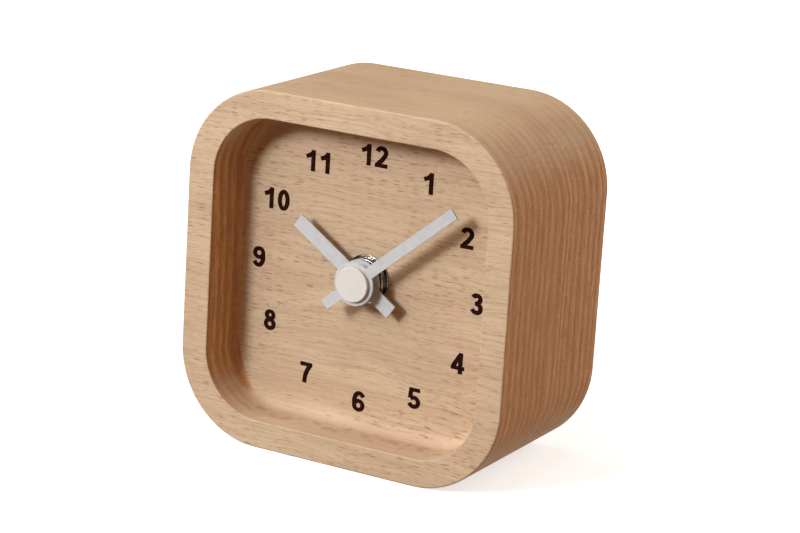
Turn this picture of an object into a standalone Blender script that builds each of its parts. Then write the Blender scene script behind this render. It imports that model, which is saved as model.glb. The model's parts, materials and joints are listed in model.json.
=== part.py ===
"""Square desk clock milled from one block of beech, with a quartz movement behind the dial.

Metres, +Z up. The origin is the middle of the base and the dial faces -Y. Sizes below are in
millimetres. Every piece is built round its own axis, which runs through the clock from front to
back: in a piece's own frame, X is to the right, Z is up and Y is the depth behind the case's front
face. Angles are clock angles, clockwise from 12 as seen from the front.
"""
import math

import bmesh
import bpy
from mathutils import Vector

MM = 0.001

# The wooden case
CASE_SIDE = 95.0
CASE_DEPTH = 52.6
CASE_CORNER = 24.0
CASE_EDGE = 0.4
RIM_WIDTH = 7.35
RECESS_SHIFT = 0.3
RECESS_CORNER = 16.6
RECESS_EDGE = 0.3
DIAL_DEPTH = 13.2
COVE_RADIUS = 3.6
COVE_STEPS = 5
DIAL_THICKNESS = 5.0
DIAL_HOLE = 4.3
POCKET_SIDE = 66.0
POCKET_CORNER = 12.0
CORNER_STEPS = 9
DIAL_BACK = DIAL_DEPTH + DIAL_THICKNESS
DIAL_CENTRE_HEIGHT = CASE_SIDE / 2

# Fits: RUN is the radial play of a turning fit, PRESS that of a pressed one, REST a resting gap.
# SINK is how far a moulded-on piece reaches into its base, PAST how far a cutter overshoots.
RUN = 0.1
PRESS = 0.05
REST = 0.3
SINK = 0.4
PAST = 1.0

# Hands
HOUR_ANGLE = 303.6
MINUTE_ANGLE = 49.8
HAND_SHEET = 0.5
HUB_RADIUS = 5.75
HOUR_HAND_FRONT = 9.2
HOUR_HAND_LENGTH = 23.4
HOUR_HAND_TAIL = 11.6
HOUR_HAND_WIDTH = 4.0
HOUR_NECK_WALL = 0.5
HOUR_FLANGE_RADIUS = 3.9
HOUR_FLANGE = 0.5
MINUTE_HAND_FRONT = 6.1
MINUTE_HAND_LENGTH = 36.2
MINUTE_HAND_TAIL = 10.9
MINUTE_HAND_WIDTH = 3.0
MINUTE_NECK_WALL = 0.6
MINUTE_FLANGE_RADIUS = 3.2
MINUTE_FLANGE = 0.6
CAP_RADIUS = 4.6
CAP_FRONT = 5.0
CAP_EDGE = 0.15

# Pipes and arbors on the clock's centre line
BUSH_RADIUS = 4.0
BUSH_FRONT = 10.5
BUSH_EDGE = 0.3
HOUR_PIPE_RADIUS = 2.5
HOUR_PIPE_FRONT = 9.05
MINUTE_PIPE_RADIUS = 1.65
MINUTE_PIPE_FRONT = 5.5
SECOND_ARBOR_RADIUS = 0.5
SECOND_ARBOR_FRONT = 9.0

# Washer and round nut that hold the movement to the dial, and the gasket behind it
WASHER_RADIUS = 6.45
WASHER_FRONT = 12.7
NUT_RADIUS = 5.9
NUT_FRONT = 10.9
NUT_BACK = 12.6
NUT_EDGE = 0.4
GASKET_RADIUS = 12.0
GASKET_FRONT = DIAL_BACK + REST
GASKET_BACK = 19.3

# Movement housing
HOUSING_SIDE = 56.0
HOUSING_CORNER = 2.5
HOUSING_WALL = 1.2
HOUSING_EDGE = 0.4
HOUSING_FRONT = 19.6
HOUSING_INNER_FRONT = HOUSING_FRONT + HOUSING_WALL
HOUSING_RIM = 33.9
COVER_FRONT = 34.2
COVER_BACK = 35.4
INNER_HALF = HOUSING_SIDE / 2 - HOUSING_WALL
BLIND_HOLE = 0.7
HOOK_LENGTH = 4.0
HOOK_THICKNESS = 0.9
SIDE_HOOKS = {"left_hook": (12.0, 17.0), "right_hook": (21.5, 25.0)}
TOP_HOOKS = {"top_left_hook": (-20.0, -15.0), "top_right_hook": (15.0, 20.0)}

# Battery bay across the bottom of the housing
BATTERY_RADIUS = 7.1
BATTERY_CENTRE = (0.0, -19.4)
BATTERY_DEPTH = 28.1
BATTERY_MINUS_X = -24.6
BATTERY_PLUS_X = 24.2
BATTERY_EDGE = 0.4
BATTERY_BASE_RADIUS = 4.5
BATTERY_BASE = 0.2
BATTERY_NUB_RADIUS = 2.7
BATTERY_NUB = 1.2
BAY_WALL = (-11.9, -10.9)
BAY_WALL_GAP = 0.2
BAY_OPENING_HALF_WIDTH = 26.3
BAY_OPENING_HALF_HEIGHT = 7.35
BAY_OPENING_CORNER = 1.5

# Plates that carry the pivots
PLATE_LEFT = -14.6
PLATE_RIGHT = 16.6
PLATE_LOW = -8.8
PLATE_HIGH = 15.0
MIDDLE_PLATE = (23.9, 24.7)
TRAIN_BRIDGE = (32.3, 33.3)
PILLAR_RADIUS = 1.2
PILLARS = [(-13.2, -7.4), (15.2, -7.4), (-13.2, 13.6), (15.2, 13.6)]
PIVOT_RADIUS = 0.3
PIVOT_HOLE = 0.4
PIVOT_FRONT = 24.1
PIVOT_BACK = 32.9
PIPE_CLEARANCE = 0.35
ARBOR_FRONT = 24.85
ARBOR_BACK = 32.15
THIRD_ARBOR_RADIUS = 0.45
ARBOR_RADIUS = 0.4
MOTION_ARBOR_RADIUS = 0.8
SHOULDER = 0.2
FLOOR_PIVOT = 0.5

# Teeth, in shares of the module (heights) and of the circular pitch (thicknesses)
WHEEL_TOOTH = {"tip": 0.85, "root": 1.05, "shape": [(-1, 0.52), (1, 0.20)]}
PINION_TOOTH = {"tip": 0.70, "root": 1.15, "shape": [(-1, 0.36), (0, 0.36), (1, 0.16)]}

# Distances between the axes of each pair in mesh, and the tooth counts
TRAIN_DISTANCE = 8.0
FIFTH_DISTANCE = 8.4
ROTOR_DISTANCE = 5.88
MOTION_DISTANCE = 9.0
CENTRE_TEETH = 48
THIRD_PINION_TEETH = 6
THIRD_TEETH = 45
SECOND_PINION_TEETH = 6
SECOND_TEETH = 40
FIFTH_PINION_TEETH = 8
FIFTH_TEETH = 36
ROTOR_PINION_TEETH = 6
CANNON_TEETH = 12
MOTION_TEETH = 36
MOTION_PINION_TEETH = 10
HOUR_TEETH = 40
SETTING_TEETH = 12

# Front and back depth of each toothed rim
HOUR_RIM = (21.2, 22.0)
MOTION_PINION_RIM = (21.1, 22.3)
MOTION_RIM = (22.6, 23.4)
CANNON_RIM = (22.5, 23.6)
CENTRE_RIM = (25.0, 25.7)
THIRD_PINION_RIM = (24.95, 26.6)
THIRD_RIM = (26.4, 27.0)
SECOND_PINION_RIM = (26.2, 27.7)
SECOND_RIM = (27.5, 28.1)
FIFTH_PINION_RIM = (27.3, 28.9)
FIFTH_RIM = (28.7, 29.3)
ROTOR_PINION_RIM = (28.5, 29.5)
MINUTE_PIPE_BACK = 26.0

# Stepping motor
MAGNET_RADIUS = 2.3
MAGNET = (29.9, 31.5)
STATOR = (30.1, 31.3)
STATOR_HOLE = 2.8
STATOR_RING = 4.2
STATOR_BAR_HALF = 2.2
STATOR_HALF_LENGTH = 12.0
STATOR_LEG = 3.8
STATOR_TOP = 24.4
COIL_HEIGHT = 22.2
COIL_DEPTH = 29.3
CORE_HALF_HEIGHT = 1.5
CORE_HALF_THICKNESS = 0.6
BOBBIN_HALF_LENGTH = 8.0
BOBBIN_FLANGE = 0.8
BOBBIN_FLANGE_RADIUS = 3.9
BOBBIN_BARREL_RADIUS = 2.1
WINDING_RADIUS = 3.6

# Circuit board and what is on it
BOARD_X = (17.3, 26.2)
BOARD_Z = (-8.5, 20.0)
BOARD = (30.6, 31.6)
CRYSTAL_RADIUS = 1.0
CRYSTAL_CENTRE = (21.5, 12.0)
CRYSTAL_HALF_LENGTH = 3.0
CRYSTAL_EDGE = 0.5
CRYSTAL_CORNER = 0.3
CHIP_RADIUS = 2.6
CHIP_HEIGHT = 1.1
CHIP_FLAT = 0.15
CHIP_STEPS = 4
CHIP_CENTRE = (21.5, 2.0)
BOARD_POSTS = [(21.5, -6.0), (24.0, 17.5)]

# Battery contacts, bent from strip
STRIP = 0.3
LEAF = (24.5, 31.5)
LEAD = (28.6, 30.3)
LEAD_SLOT = (28.3, 34.4)
LEAD_END_HEIGHT = -7.2
LEAD_HEIGHT = -10.45
MINUS_LEAF_X = -26.25
MINUS_LEAD_X = 18.15
PLUS_LEAF_X = 25.9
LEAF_TOP = -13.0
MINUS_LEAF_BOTTOM = -24.4
MINUS_SPRING_HALF = 3.6
MINUS_SPRING_BULGE = 1.05
PLUS_LEAF_BOTTOM = -23.9
LEAF_OVERLAP = 0.8
SLOT_OUTWARD = 0.4
SLOT_INWARD = 0.5

# Setting knob at the back
SETTING_SHAFT_RADIUS = 1.4
SETTING_PIVOT_RADIUS = 0.6
SETTING_SHAFT_BACK = 38.2
KNOB_RADIUS = 6.0
KNOB = (35.8, 38.8)
KNOB_RIBS = 24
KNOB_RIB_DEPTH = 0.25
KNOB_EDGE = 0.4

# Facets in a full circle, and in a rounded corner or a hand's hub
FINE_ROUND = 32
ROUND = 24
BATTERY_ROUND = 28
SMALL_ROUND = 12
HUB_STEPS = 12
STATOR_STEPS = 8
FEW_STEPS = 4

# Colour, roughness, metallic
BEECH = ((0.63, 0.42, 0.25), 0.6, 0.0)
WHITE_PAINT = ((0.72, 0.70, 0.68), 0.55, 0.0)
NICKEL = ((0.55, 0.54, 0.52), 0.25, 1.0)
BRASS = ((0.72, 0.55, 0.28), 0.35, 1.0)
STEEL = ((0.50, 0.50, 0.51), 0.35, 1.0)
BLACK_RUBBER = ((0.02, 0.02, 0.02), 0.85, 0.0)
BLACK_PLASTIC = ((0.025, 0.025, 0.027), 0.5, 0.0)
GEAR_PLASTIC = ((0.78, 0.76, 0.70), 0.5, 0.0)
MAGNET_GREY = ((0.12, 0.12, 0.13), 0.5, 0.3)
COPPER = ((0.60, 0.26, 0.12), 0.35, 1.0)
BOARD_BROWN = ((0.34, 0.20, 0.08), 0.6, 0.0)
BATTERY_WRAP = ((0.06, 0.16, 0.10), 0.35, 0.0)


# --- Places -------------------------------------------------------------------------------------

def polar(radius, degrees):
    """(x, z) at a clock angle, clockwise from straight up."""
    angle = math.radians(degrees)
    return radius * math.sin(angle), radius * math.cos(angle)


def offset(point, distance, degrees):
    """The place at a distance and a clock angle from another place."""
    x, z = polar(distance, degrees)
    return point[0] + x, point[1] + z


CENTRE = (0.0, 0.0)
MOTION_DIRECTION = 300.0
SETTING_DIRECTION = 270.0
THIRD_DIRECTION = 70.0
FIFTH_DIRECTION = 340.0
ROTOR_DIRECTION = 50.0
MOTION_AXIS = offset(CENTRE, MOTION_DISTANCE, MOTION_DIRECTION)
SETTING_AXIS = offset(MOTION_AXIS, MOTION_DISTANCE, SETTING_DIRECTION)
THIRD_AXIS = offset(CENTRE, TRAIN_DISTANCE, THIRD_DIRECTION)
FIFTH_AXIS = offset(CENTRE, FIFTH_DISTANCE, FIFTH_DIRECTION)
ROTOR_AXIS = offset(FIFTH_AXIS, ROTOR_DISTANCE, ROTOR_DIRECTION)


# --- Outlines: lists of (x, z) ------------------------------------------------------------------

def circle(radius, count=ROUND):
    return [polar(radius, 360.0 * k / count) for k in range(count)]


def rounded_rectangle(half_width, half_height, corner, steps=CORNER_STEPS, centre=CENTRE):
    points = []
    for quarter, (right, up) in enumerate([(1, 1), (1, -1), (-1, -1), (-1, 1)]):
        x = centre[0] + right * (half_width - corner)
        z = centre[1] + up * (half_height - corner)
        for step in range(steps + 1):
            points.append(offset((x, z), corner, 90.0 * (quarter + step / steps)))
    return points


def rectangle(x_range, z_range):
    (left, right), (low, high) = x_range, z_range
    return [(left, low), (left, high), (right, high), (right, low)]


def band(path, thickness):
    """The outline of a strip of this thickness bent along a path, with mitred corners."""
    points = [Vector(point) for point in path]
    left, right = [], []
    for i, point in enumerate(points):
        before = (point - points[i - 1]).normalized() if i > 0 else None
        after = (points[i + 1] - point).normalized() if i + 1 < len(points) else before
        before = before or after
        along = (before + after).normalized()
        across = Vector((-along.y, along.x))
        reach = thickness / 2 / max(0.3, across.dot(Vector((-after.y, after.x))))
        left.append(tuple(point + across * reach))
        right.append(tuple(point - across * reach))
    return left + right[::-1]


def gear(teeth, module, tooth):
    """A toothed outline with a tooth pointing straight up."""
    pitch_radius = teeth * module / 2
    radii = {-1: pitch_radius - tooth["root"] * module, 0: pitch_radius,
             1: pitch_radius + tooth["tip"] * module}
    half_pitch = math.degrees(math.pi * module / 2 / pitch_radius)
    rising = [(radii[level], -share * half_pitch) for level, share in tooth["shape"]]
    falling = [(radius, -turn) for radius, turn in reversed(rising)]
    points = []
    for k in range(teeth):
        points += [polar(radius, 360.0 * k / teeth + turn) for radius, turn in rising + falling]
    return points


def hand_outline(length, tail, width):
    """A straight bar with a round hub on its axis, pointing up."""
    half = width / 2
    join = math.degrees(math.asin(half / HUB_RADIUS))
    turns = [join + (180.0 - 2 * join) * k / HUB_STEPS for k in range(HUB_STEPS + 1)]
    right = [polar(HUB_RADIUS, turn) for turn in turns]
    left = [(-x, z) for x, z in reversed(right)]
    return [(half, length)] + right + [(half, -tail), (-half, -tail)] + left + [(-half, length)]


# --- Shapes -------------------------------------------------------------------------------------

def loft(sections, closed=False):
    """A mesh through outlines of equal length, each at its depth: capped, or closed into a ring."""
    mesh = bmesh.new()
    loops = []
    for outline, depth in sections:
        loops.append([mesh.verts.new((x * MM, depth * MM, z * MM)) for x, z in outline])
    pairs = list(zip(loops, loops[1:]))
    if closed:
        pairs.append((loops[-1], loops[0]))
    else:
        mesh.faces.new(loops[0])
        mesh.faces.new(loops[-1])
    for first, second in pairs:
        for k in range(len(first)):
            mesh.faces.new([first[k - 1], first[k], second[k], second[k - 1]])
    bmesh.ops.recalc_face_normals(mesh, faces=mesh.faces)
    return mesh


def prism(outline, depths):
    return loft([(outline, depths[0]), (outline, depths[1])])


def turned(profile, count=ROUND):
    """A solid of revolution through (radius, depth) pairs."""
    return loft([(circle(radius, count), depth) for radius, depth in profile])


def turned_ring(profile, count=ROUND):
    """A ring of revolution through (radius, depth) pairs that go once round its section."""
    return loft([(circle(radius, count), depth) for radius, depth in profile], closed=True)


def bored(outline, hole_radius, depths):
    """A plate with a round hole on its axis. The outline is seen whole from the axis."""
    hole = []
    for x, z in outline:
        scale = hole_radius / math.hypot(x, z)
        hole.append((x * scale, z * scale))
    front, back = depths
    return loft([(outline, front), (outline, back), (hole, back), (hole, front)], closed=True)


def rod(radius, depths, count=ROUND):
    return turned([(radius, depths[0]), (radius, depths[1])], count)


def box(x_range, z_range, depths):
    return prism(rectangle(x_range, z_range), depths)


# --- Objects ------------------------------------------------------------------------------------

def clear_scene():
    for thing in list(bpy.data.objects):
        bpy.data.objects.remove(thing)


def finish_material(name, look):
    colour, roughness, metallic = look
    material = bpy.data.materials.new(name)
    material.use_nodes = True
    shader = material.node_tree.nodes["Principled BSDF"]
    shader.inputs["Base Color"].default_value = (*colour, 1.0)
    shader.inputs["Roughness"].default_value = roughness
    shader.inputs["Metallic"].default_value = metallic
    return material


def place(name, shape, axis=CENTRE, angle=0.0, turn_to_x=False, depth=0.0):
    """An object with its origin on its axis in the plane of the case's front face."""
    mesh = bpy.data.meshes.new(name)
    shape.to_mesh(mesh)
    shape.free()
    thing = bpy.data.objects.new(name, mesh)
    front = depth - CASE_DEPTH / 2
    thing.location = (axis[0] * MM, front * MM, (DIAL_CENTRE_HEIGHT + axis[1]) * MM)
    thing.rotation_euler = (0.0, math.radians(angle), math.radians(-90.0) if turn_to_x else 0.0)
    bpy.context.scene.collection.objects.link(thing)
    return thing


def combine(thing, tools, operation):
    """Adds or cuts the tools, and takes them out of the scene."""
    for tool in tools:
        modifier = thing.modifiers.new(operation.title(), "BOOLEAN")
        modifier.operation = operation
        modifier.solver = "EXACT"
        modifier.object = tool
    bpy.context.view_layer.update()
    graph = bpy.context.evaluated_depsgraph_get()
    result = bpy.data.meshes.new_from_object(thing.evaluated_get(graph))
    thing.modifiers.clear()
    thing.data = result
    for tool in tools:
        bpy.data.objects.remove(tool)
    return thing


def add(thing, *tools):
    return combine(thing, tools, "UNION")


def cut(thing, *tools):
    return combine(thing, tools, "DIFFERENCE")


def dress(thing, look, smooth_angle=35.0):
    """Gives a piece its material, and smooth shading except at its corners."""
    thing.data.materials.clear()
    thing.data.materials.append(finish_material(thing.name + "_finish", look))
    thing.data.name = thing.name
    thing.data.shade_smooth()
    thing.data.set_sharp_from_angle(angle=math.radians(smooth_angle))
    return thing


# --- Case, gasket and fastening -----------------------------------------------------------------

def wooden_case():
    """One block: rounded outside, recess with a coved floor in front, square pocket behind."""
    half = CASE_SIDE / 2
    recess = half - RIM_WIDTH
    pocket = POCKET_SIDE / 2
    outside = [
        (half - CASE_EDGE, CASE_CORNER - CASE_EDGE, CASE_DEPTH),
        (half, CASE_CORNER, CASE_DEPTH - CASE_EDGE),
        (half, CASE_CORNER, CASE_EDGE),
        (half - CASE_EDGE, CASE_CORNER - CASE_EDGE, 0.0),
    ]
    front = [
        (recess + RECESS_EDGE, RECESS_CORNER + RECESS_EDGE, 0.0),
        (recess, RECESS_CORNER, RECESS_EDGE),
    ]
    for step in range(COVE_STEPS + 1):
        angle = math.pi / 2 * step / COVE_STEPS
        inset = COVE_RADIUS * (1 - math.cos(angle))
        depth = DIAL_DEPTH - COVE_RADIUS * (1 - math.sin(angle))
        front.append((recess - inset, RECESS_CORNER - inset, depth))
    behind = [
        (DIAL_HOLE, DIAL_HOLE, DIAL_DEPTH),
        (DIAL_HOLE, DIAL_HOLE, DIAL_BACK),
        (pocket, POCKET_CORNER, DIAL_BACK),
        (pocket, POCKET_CORNER, CASE_DEPTH - RECESS_EDGE),
        (pocket + RECESS_EDGE, POCKET_CORNER + RECESS_EDGE, CASE_DEPTH),
    ]
    sections = []
    for rings, shift in ((outside, 0.0), (front, RECESS_SHIFT), (behind, 0.0)):
        for side, corner, depth in rings:
            sections.append((rounded_rectangle(side, side, corner, centre=(shift, 0.0)), depth))
    dress(place("wooden_case", loft(sections, closed=True)), BEECH)


def dial_fastening():
    hole = BUSH_RADIUS + RUN
    washer_back = DIAL_DEPTH - RUN
    washer = [(WASHER_RADIUS, WASHER_FRONT), (WASHER_RADIUS, washer_back),
              (hole, washer_back), (hole, WASHER_FRONT)]
    dress(place("dial_washer", turned_ring(washer, FINE_ROUND)), NICKEL)
    nut = [(NUT_RADIUS - NUT_EDGE, NUT_FRONT), (NUT_RADIUS, NUT_FRONT + NUT_EDGE),
           (NUT_RADIUS, NUT_BACK), (hole, NUT_BACK), (hole, NUT_FRONT)]
    dress(place("dial_nut", turned_ring(nut, FINE_ROUND)), NICKEL)
    gasket = [(GASKET_RADIUS, GASKET_FRONT), (GASKET_RADIUS, GASKET_BACK),
              (DIAL_HOLE, GASKET_BACK), (DIAL_HOLE, GASKET_FRONT)]
    dress(place("rubber_gasket", turned_ring(gasket)), BLACK_RUBBER)


# --- Hands --------------------------------------------------------------------------------------

def hands():
    hour_hole = HOUR_PIPE_RADIUS + HOUR_NECK_WALL
    hour_back = HOUR_HAND_FRONT + HAND_SHEET
    outline = hand_outline(HOUR_HAND_LENGTH, HOUR_HAND_TAIL, HOUR_HAND_WIDTH)
    shape = bored(outline, hour_hole, (HOUR_HAND_FRONT, hour_back))
    dress(place("hour_hand", shape, angle=HOUR_ANGLE), WHITE_PAINT)
    bush = hand_bush(HOUR_PIPE_RADIUS, hour_hole, hour_back, HOUR_FLANGE_RADIUS, HOUR_FLANGE)
    dress(place("hour_hand_bush", bush), BRASS)
    minute_hole = MINUTE_PIPE_RADIUS + MINUTE_NECK_WALL
    minute_back = MINUTE_HAND_FRONT + HAND_SHEET
    outline = hand_outline(MINUTE_HAND_LENGTH, MINUTE_HAND_TAIL, MINUTE_HAND_WIDTH)
    shape = bored(outline, minute_hole, (MINUTE_HAND_FRONT, minute_back))
    dress(place("minute_hand", shape, angle=MINUTE_ANGLE), WHITE_PAINT)
    bush = hand_bush(MINUTE_PIPE_RADIUS, minute_hole, minute_back, MINUTE_FLANGE_RADIUS,
                     MINUTE_FLANGE)
    dress(place("minute_hand_bush", bush), BRASS)
    socket = MINUTE_PIPE_RADIUS + PRESS
    cap_back = MINUTE_HAND_FRONT - PRESS
    cap = turned([(CAP_RADIUS - CAP_EDGE, CAP_FRONT), (CAP_RADIUS, CAP_FRONT + CAP_EDGE),
                  (CAP_RADIUS, cap_back), (socket, cap_back),
                  (socket, MINUTE_PIPE_FRONT - RUN)], FINE_ROUND)
    dress(place("hand_cap", cap), WHITE_PAINT)


def hand_bush(pipe_radius, hand_hole, hand_back, flange_radius, flange):
    """A flanged bush: its neck fills the hand's hole and its flange lies behind the hand."""
    inner = pipe_radius + PRESS
    neck = hand_hole - PRESS
    neck_front = hand_back - HAND_SHEET + PRESS
    flange_front = hand_back + PRESS
    return turned_ring([(neck, neck_front), (neck, flange_front), (flange_radius, flange_front),
                        (flange_radius, flange_front + flange), (inner, flange_front + flange),
                        (inner, neck_front)])


# --- Movement housing ---------------------------------------------------------------------------

def housing_outline(inset):
    half = HOUSING_SIDE / 2 - inset
    return rounded_rectangle(half, half, HOUSING_CORNER - inset, FEW_STEPS)


def movement_front_housing():
    """Open box with the mounting bush, the bay wall, pillars and posts moulded in."""
    shell = loft([
        (housing_outline(HOUSING_EDGE), HOUSING_FRONT),
        (housing_outline(0.0), HOUSING_FRONT + HOUSING_EDGE),
        (housing_outline(0.0), HOUSING_RIM),
        (housing_outline(HOUSING_WALL), HOUSING_RIM),
        (housing_outline(HOUSING_WALL), HOUSING_INNER_FRONT),
    ])
    housing = place("movement_front_housing", shell)
    inside_floor = HOUSING_INNER_FRONT - SINK
    bush = turned([(BUSH_RADIUS - BUSH_EDGE, BUSH_FRONT), (BUSH_RADIUS, BUSH_FRONT + BUSH_EDGE),
                   (BUSH_RADIUS, inside_floor)])
    tools = [place("bush", bush)]
    wall_reach = INNER_HALF + SINK
    wall = box((-wall_reach, wall_reach), BAY_WALL, (inside_floor, HOUSING_RIM - BAY_WALL_GAP))
    tools.append(place("bay_wall", wall))
    for x, z in PILLARS:
        tools.append(place("pillar", rod(PILLAR_RADIUS, (inside_floor, MIDDLE_PLATE[0] - RUN),
                                         SMALL_ROUND), (x, z)))
    for x, z in BOARD_POSTS:
        tools.append(place("post", rod(PILLAR_RADIUS, (inside_floor, BOARD[0] - RUN),
                                       SMALL_ROUND), (x, z)))
    add(housing, *tools)
    bore = rod(HOUR_PIPE_RADIUS + RUN, (BUSH_FRONT - PAST, HOUSING_INNER_FRONT + PAST))
    blind = (HOUSING_INNER_FRONT - BLIND_HOLE, HOUSING_INNER_FRONT + PAST)
    setting_hole = rod(SETTING_PIVOT_RADIUS + RUN, blind, SMALL_ROUND)
    slot_z = (BAY_WALL[0] - PAST, BAY_WALL[1] + PAST)
    minus_slot = (MINUS_LEAF_X - SLOT_OUTWARD, MINUS_LEAF_X + SLOT_INWARD)
    plus_slot = (PLUS_LEAF_X - SLOT_INWARD, PLUS_LEAF_X + SLOT_OUTWARD)
    cut(housing,
        place("bush_bore", bore),
        place("motion_pivot", rod(PIVOT_HOLE, blind, SMALL_ROUND), MOTION_AXIS),
        place("setting_pivot", setting_hole, SETTING_AXIS),
        place("minus_slot", box(minus_slot, slot_z, LEAD_SLOT)),
        place("plus_slot", box(plus_slot, slot_z, LEAD_SLOT)))
    dress(housing, BLACK_PLASTIC)


def movement_rear_cover():
    """Lid with the open battery bay, the setting shaft's hole and four snap hooks."""
    cover = place("movement_rear_cover", loft([
        (housing_outline(0.0), COVER_FRONT),
        (housing_outline(0.0), COVER_BACK - HOUSING_EDGE),
        (housing_outline(HOUSING_EDGE), COVER_BACK),
    ]))
    hook = (HOUSING_RIM - HOOK_LENGTH, COVER_FRONT + SINK)
    out = INNER_HALF - RUN
    inside = out - HOOK_THICKNESS
    add(cover,
        place("left_hook", box((-out, -inside), SIDE_HOOKS["left_hook"], hook)),
        place("right_hook", box((inside, out), SIDE_HOOKS["right_hook"], hook)),
        *[place(name, box(span, (inside, out), hook)) for name, span in TOP_HOOKS.items()])
    opening = rounded_rectangle(BAY_OPENING_HALF_WIDTH, BAY_OPENING_HALF_HEIGHT,
                                BAY_OPENING_CORNER, FEW_STEPS)
    through = (COVER_FRONT - PAST, COVER_BACK + PAST)
    cut(cover,
        place("bay_opening", prism(opening, through), BATTERY_CENTRE),
        place("shaft_hole", rod(SETTING_SHAFT_RADIUS + RUN, through), SETTING_AXIS))
    dress(cover, BLACK_PLASTIC)


def pivot_cutter(axis, depths, radius=PIVOT_HOLE):
    through = (depths[0] - PAST, depths[1] + PAST)
    return place("pivot_hole", rod(radius, through, SMALL_ROUND), axis)


def plates():
    """The middle plate, with pillars behind it, and the bridge that closes the train."""
    outline = rectangle((PLATE_LEFT, PLATE_RIGHT), (PLATE_LOW, PLATE_HIGH))
    middle = place("middle_plate", prism(outline, MIDDLE_PLATE))
    pillar = (MIDDLE_PLATE[0] + SINK, TRAIN_BRIDGE[0] - RUN)
    add(middle, *[place("pillar", rod(PILLAR_RADIUS, pillar, SMALL_ROUND), at) for at in PILLARS])
    cut(middle, pivot_cutter(CENTRE, MIDDLE_PLATE, MINUTE_PIPE_RADIUS + PIPE_CLEARANCE),
        *[pivot_cutter(axis, MIDDLE_PLATE)
          for axis in (MOTION_AXIS, THIRD_AXIS, FIFTH_AXIS, ROTOR_AXIS)])
    dress(middle, BLACK_PLASTIC)
    bridge = place("train_bridge", prism(outline, TRAIN_BRIDGE))
    cut(bridge, *[pivot_cutter(axis, TRAIN_BRIDGE)
                  for axis in (CENTRE, THIRD_AXIS, FIFTH_AXIS, ROTOR_AXIS)])
    dress(bridge, BLACK_PLASTIC)


# --- Wheels -------------------------------------------------------------------------------------

def module_of(distance, teeth, pinion_teeth):
    return 2 * distance / (teeth + pinion_teeth)


TRAIN_MODULE = module_of(TRAIN_DISTANCE, CENTRE_TEETH, THIRD_PINION_TEETH)
THIRD_MODULE = module_of(TRAIN_DISTANCE, THIRD_TEETH, SECOND_PINION_TEETH)
SECOND_MODULE = module_of(FIFTH_DISTANCE, SECOND_TEETH, FIFTH_PINION_TEETH)
FIFTH_MODULE = module_of(ROTOR_DISTANCE, FIFTH_TEETH, ROTOR_PINION_TEETH)
CANNON_MODULE = module_of(MOTION_DISTANCE, MOTION_TEETH, CANNON_TEETH)
HOUR_MODULE = module_of(MOTION_DISTANCE, HOUR_TEETH, MOTION_PINION_TEETH)


def meshed(angle, teeth, direction, other_teeth):
    """The turn that puts a gear in mesh with its neighbour.

    The neighbour is turned by angle and has teeth; the gear lies in that direction from it.
    """
    return direction + 180.0 + 180.0 / other_teeth - (angle - direction) * teeth / other_teeth


def wheel(teeth, module, depths):
    return prism(gear(teeth, module, WHEEL_TOOTH), depths)


def pinion(teeth, module, depths):
    return prism(gear(teeth, module, PINION_TOOTH), depths)


def arbor(radius):
    """A plain arbor between the plates, with a thinner pivot at each end."""
    return turned([(PIVOT_RADIUS, PIVOT_FRONT), (PIVOT_RADIUS, ARBOR_FRONT), (radius, ARBOR_FRONT),
                   (radius, ARBOR_BACK), (PIVOT_RADIUS, ARBOR_BACK), (PIVOT_RADIUS, PIVOT_BACK)],
                  SMALL_ROUND)


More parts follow.
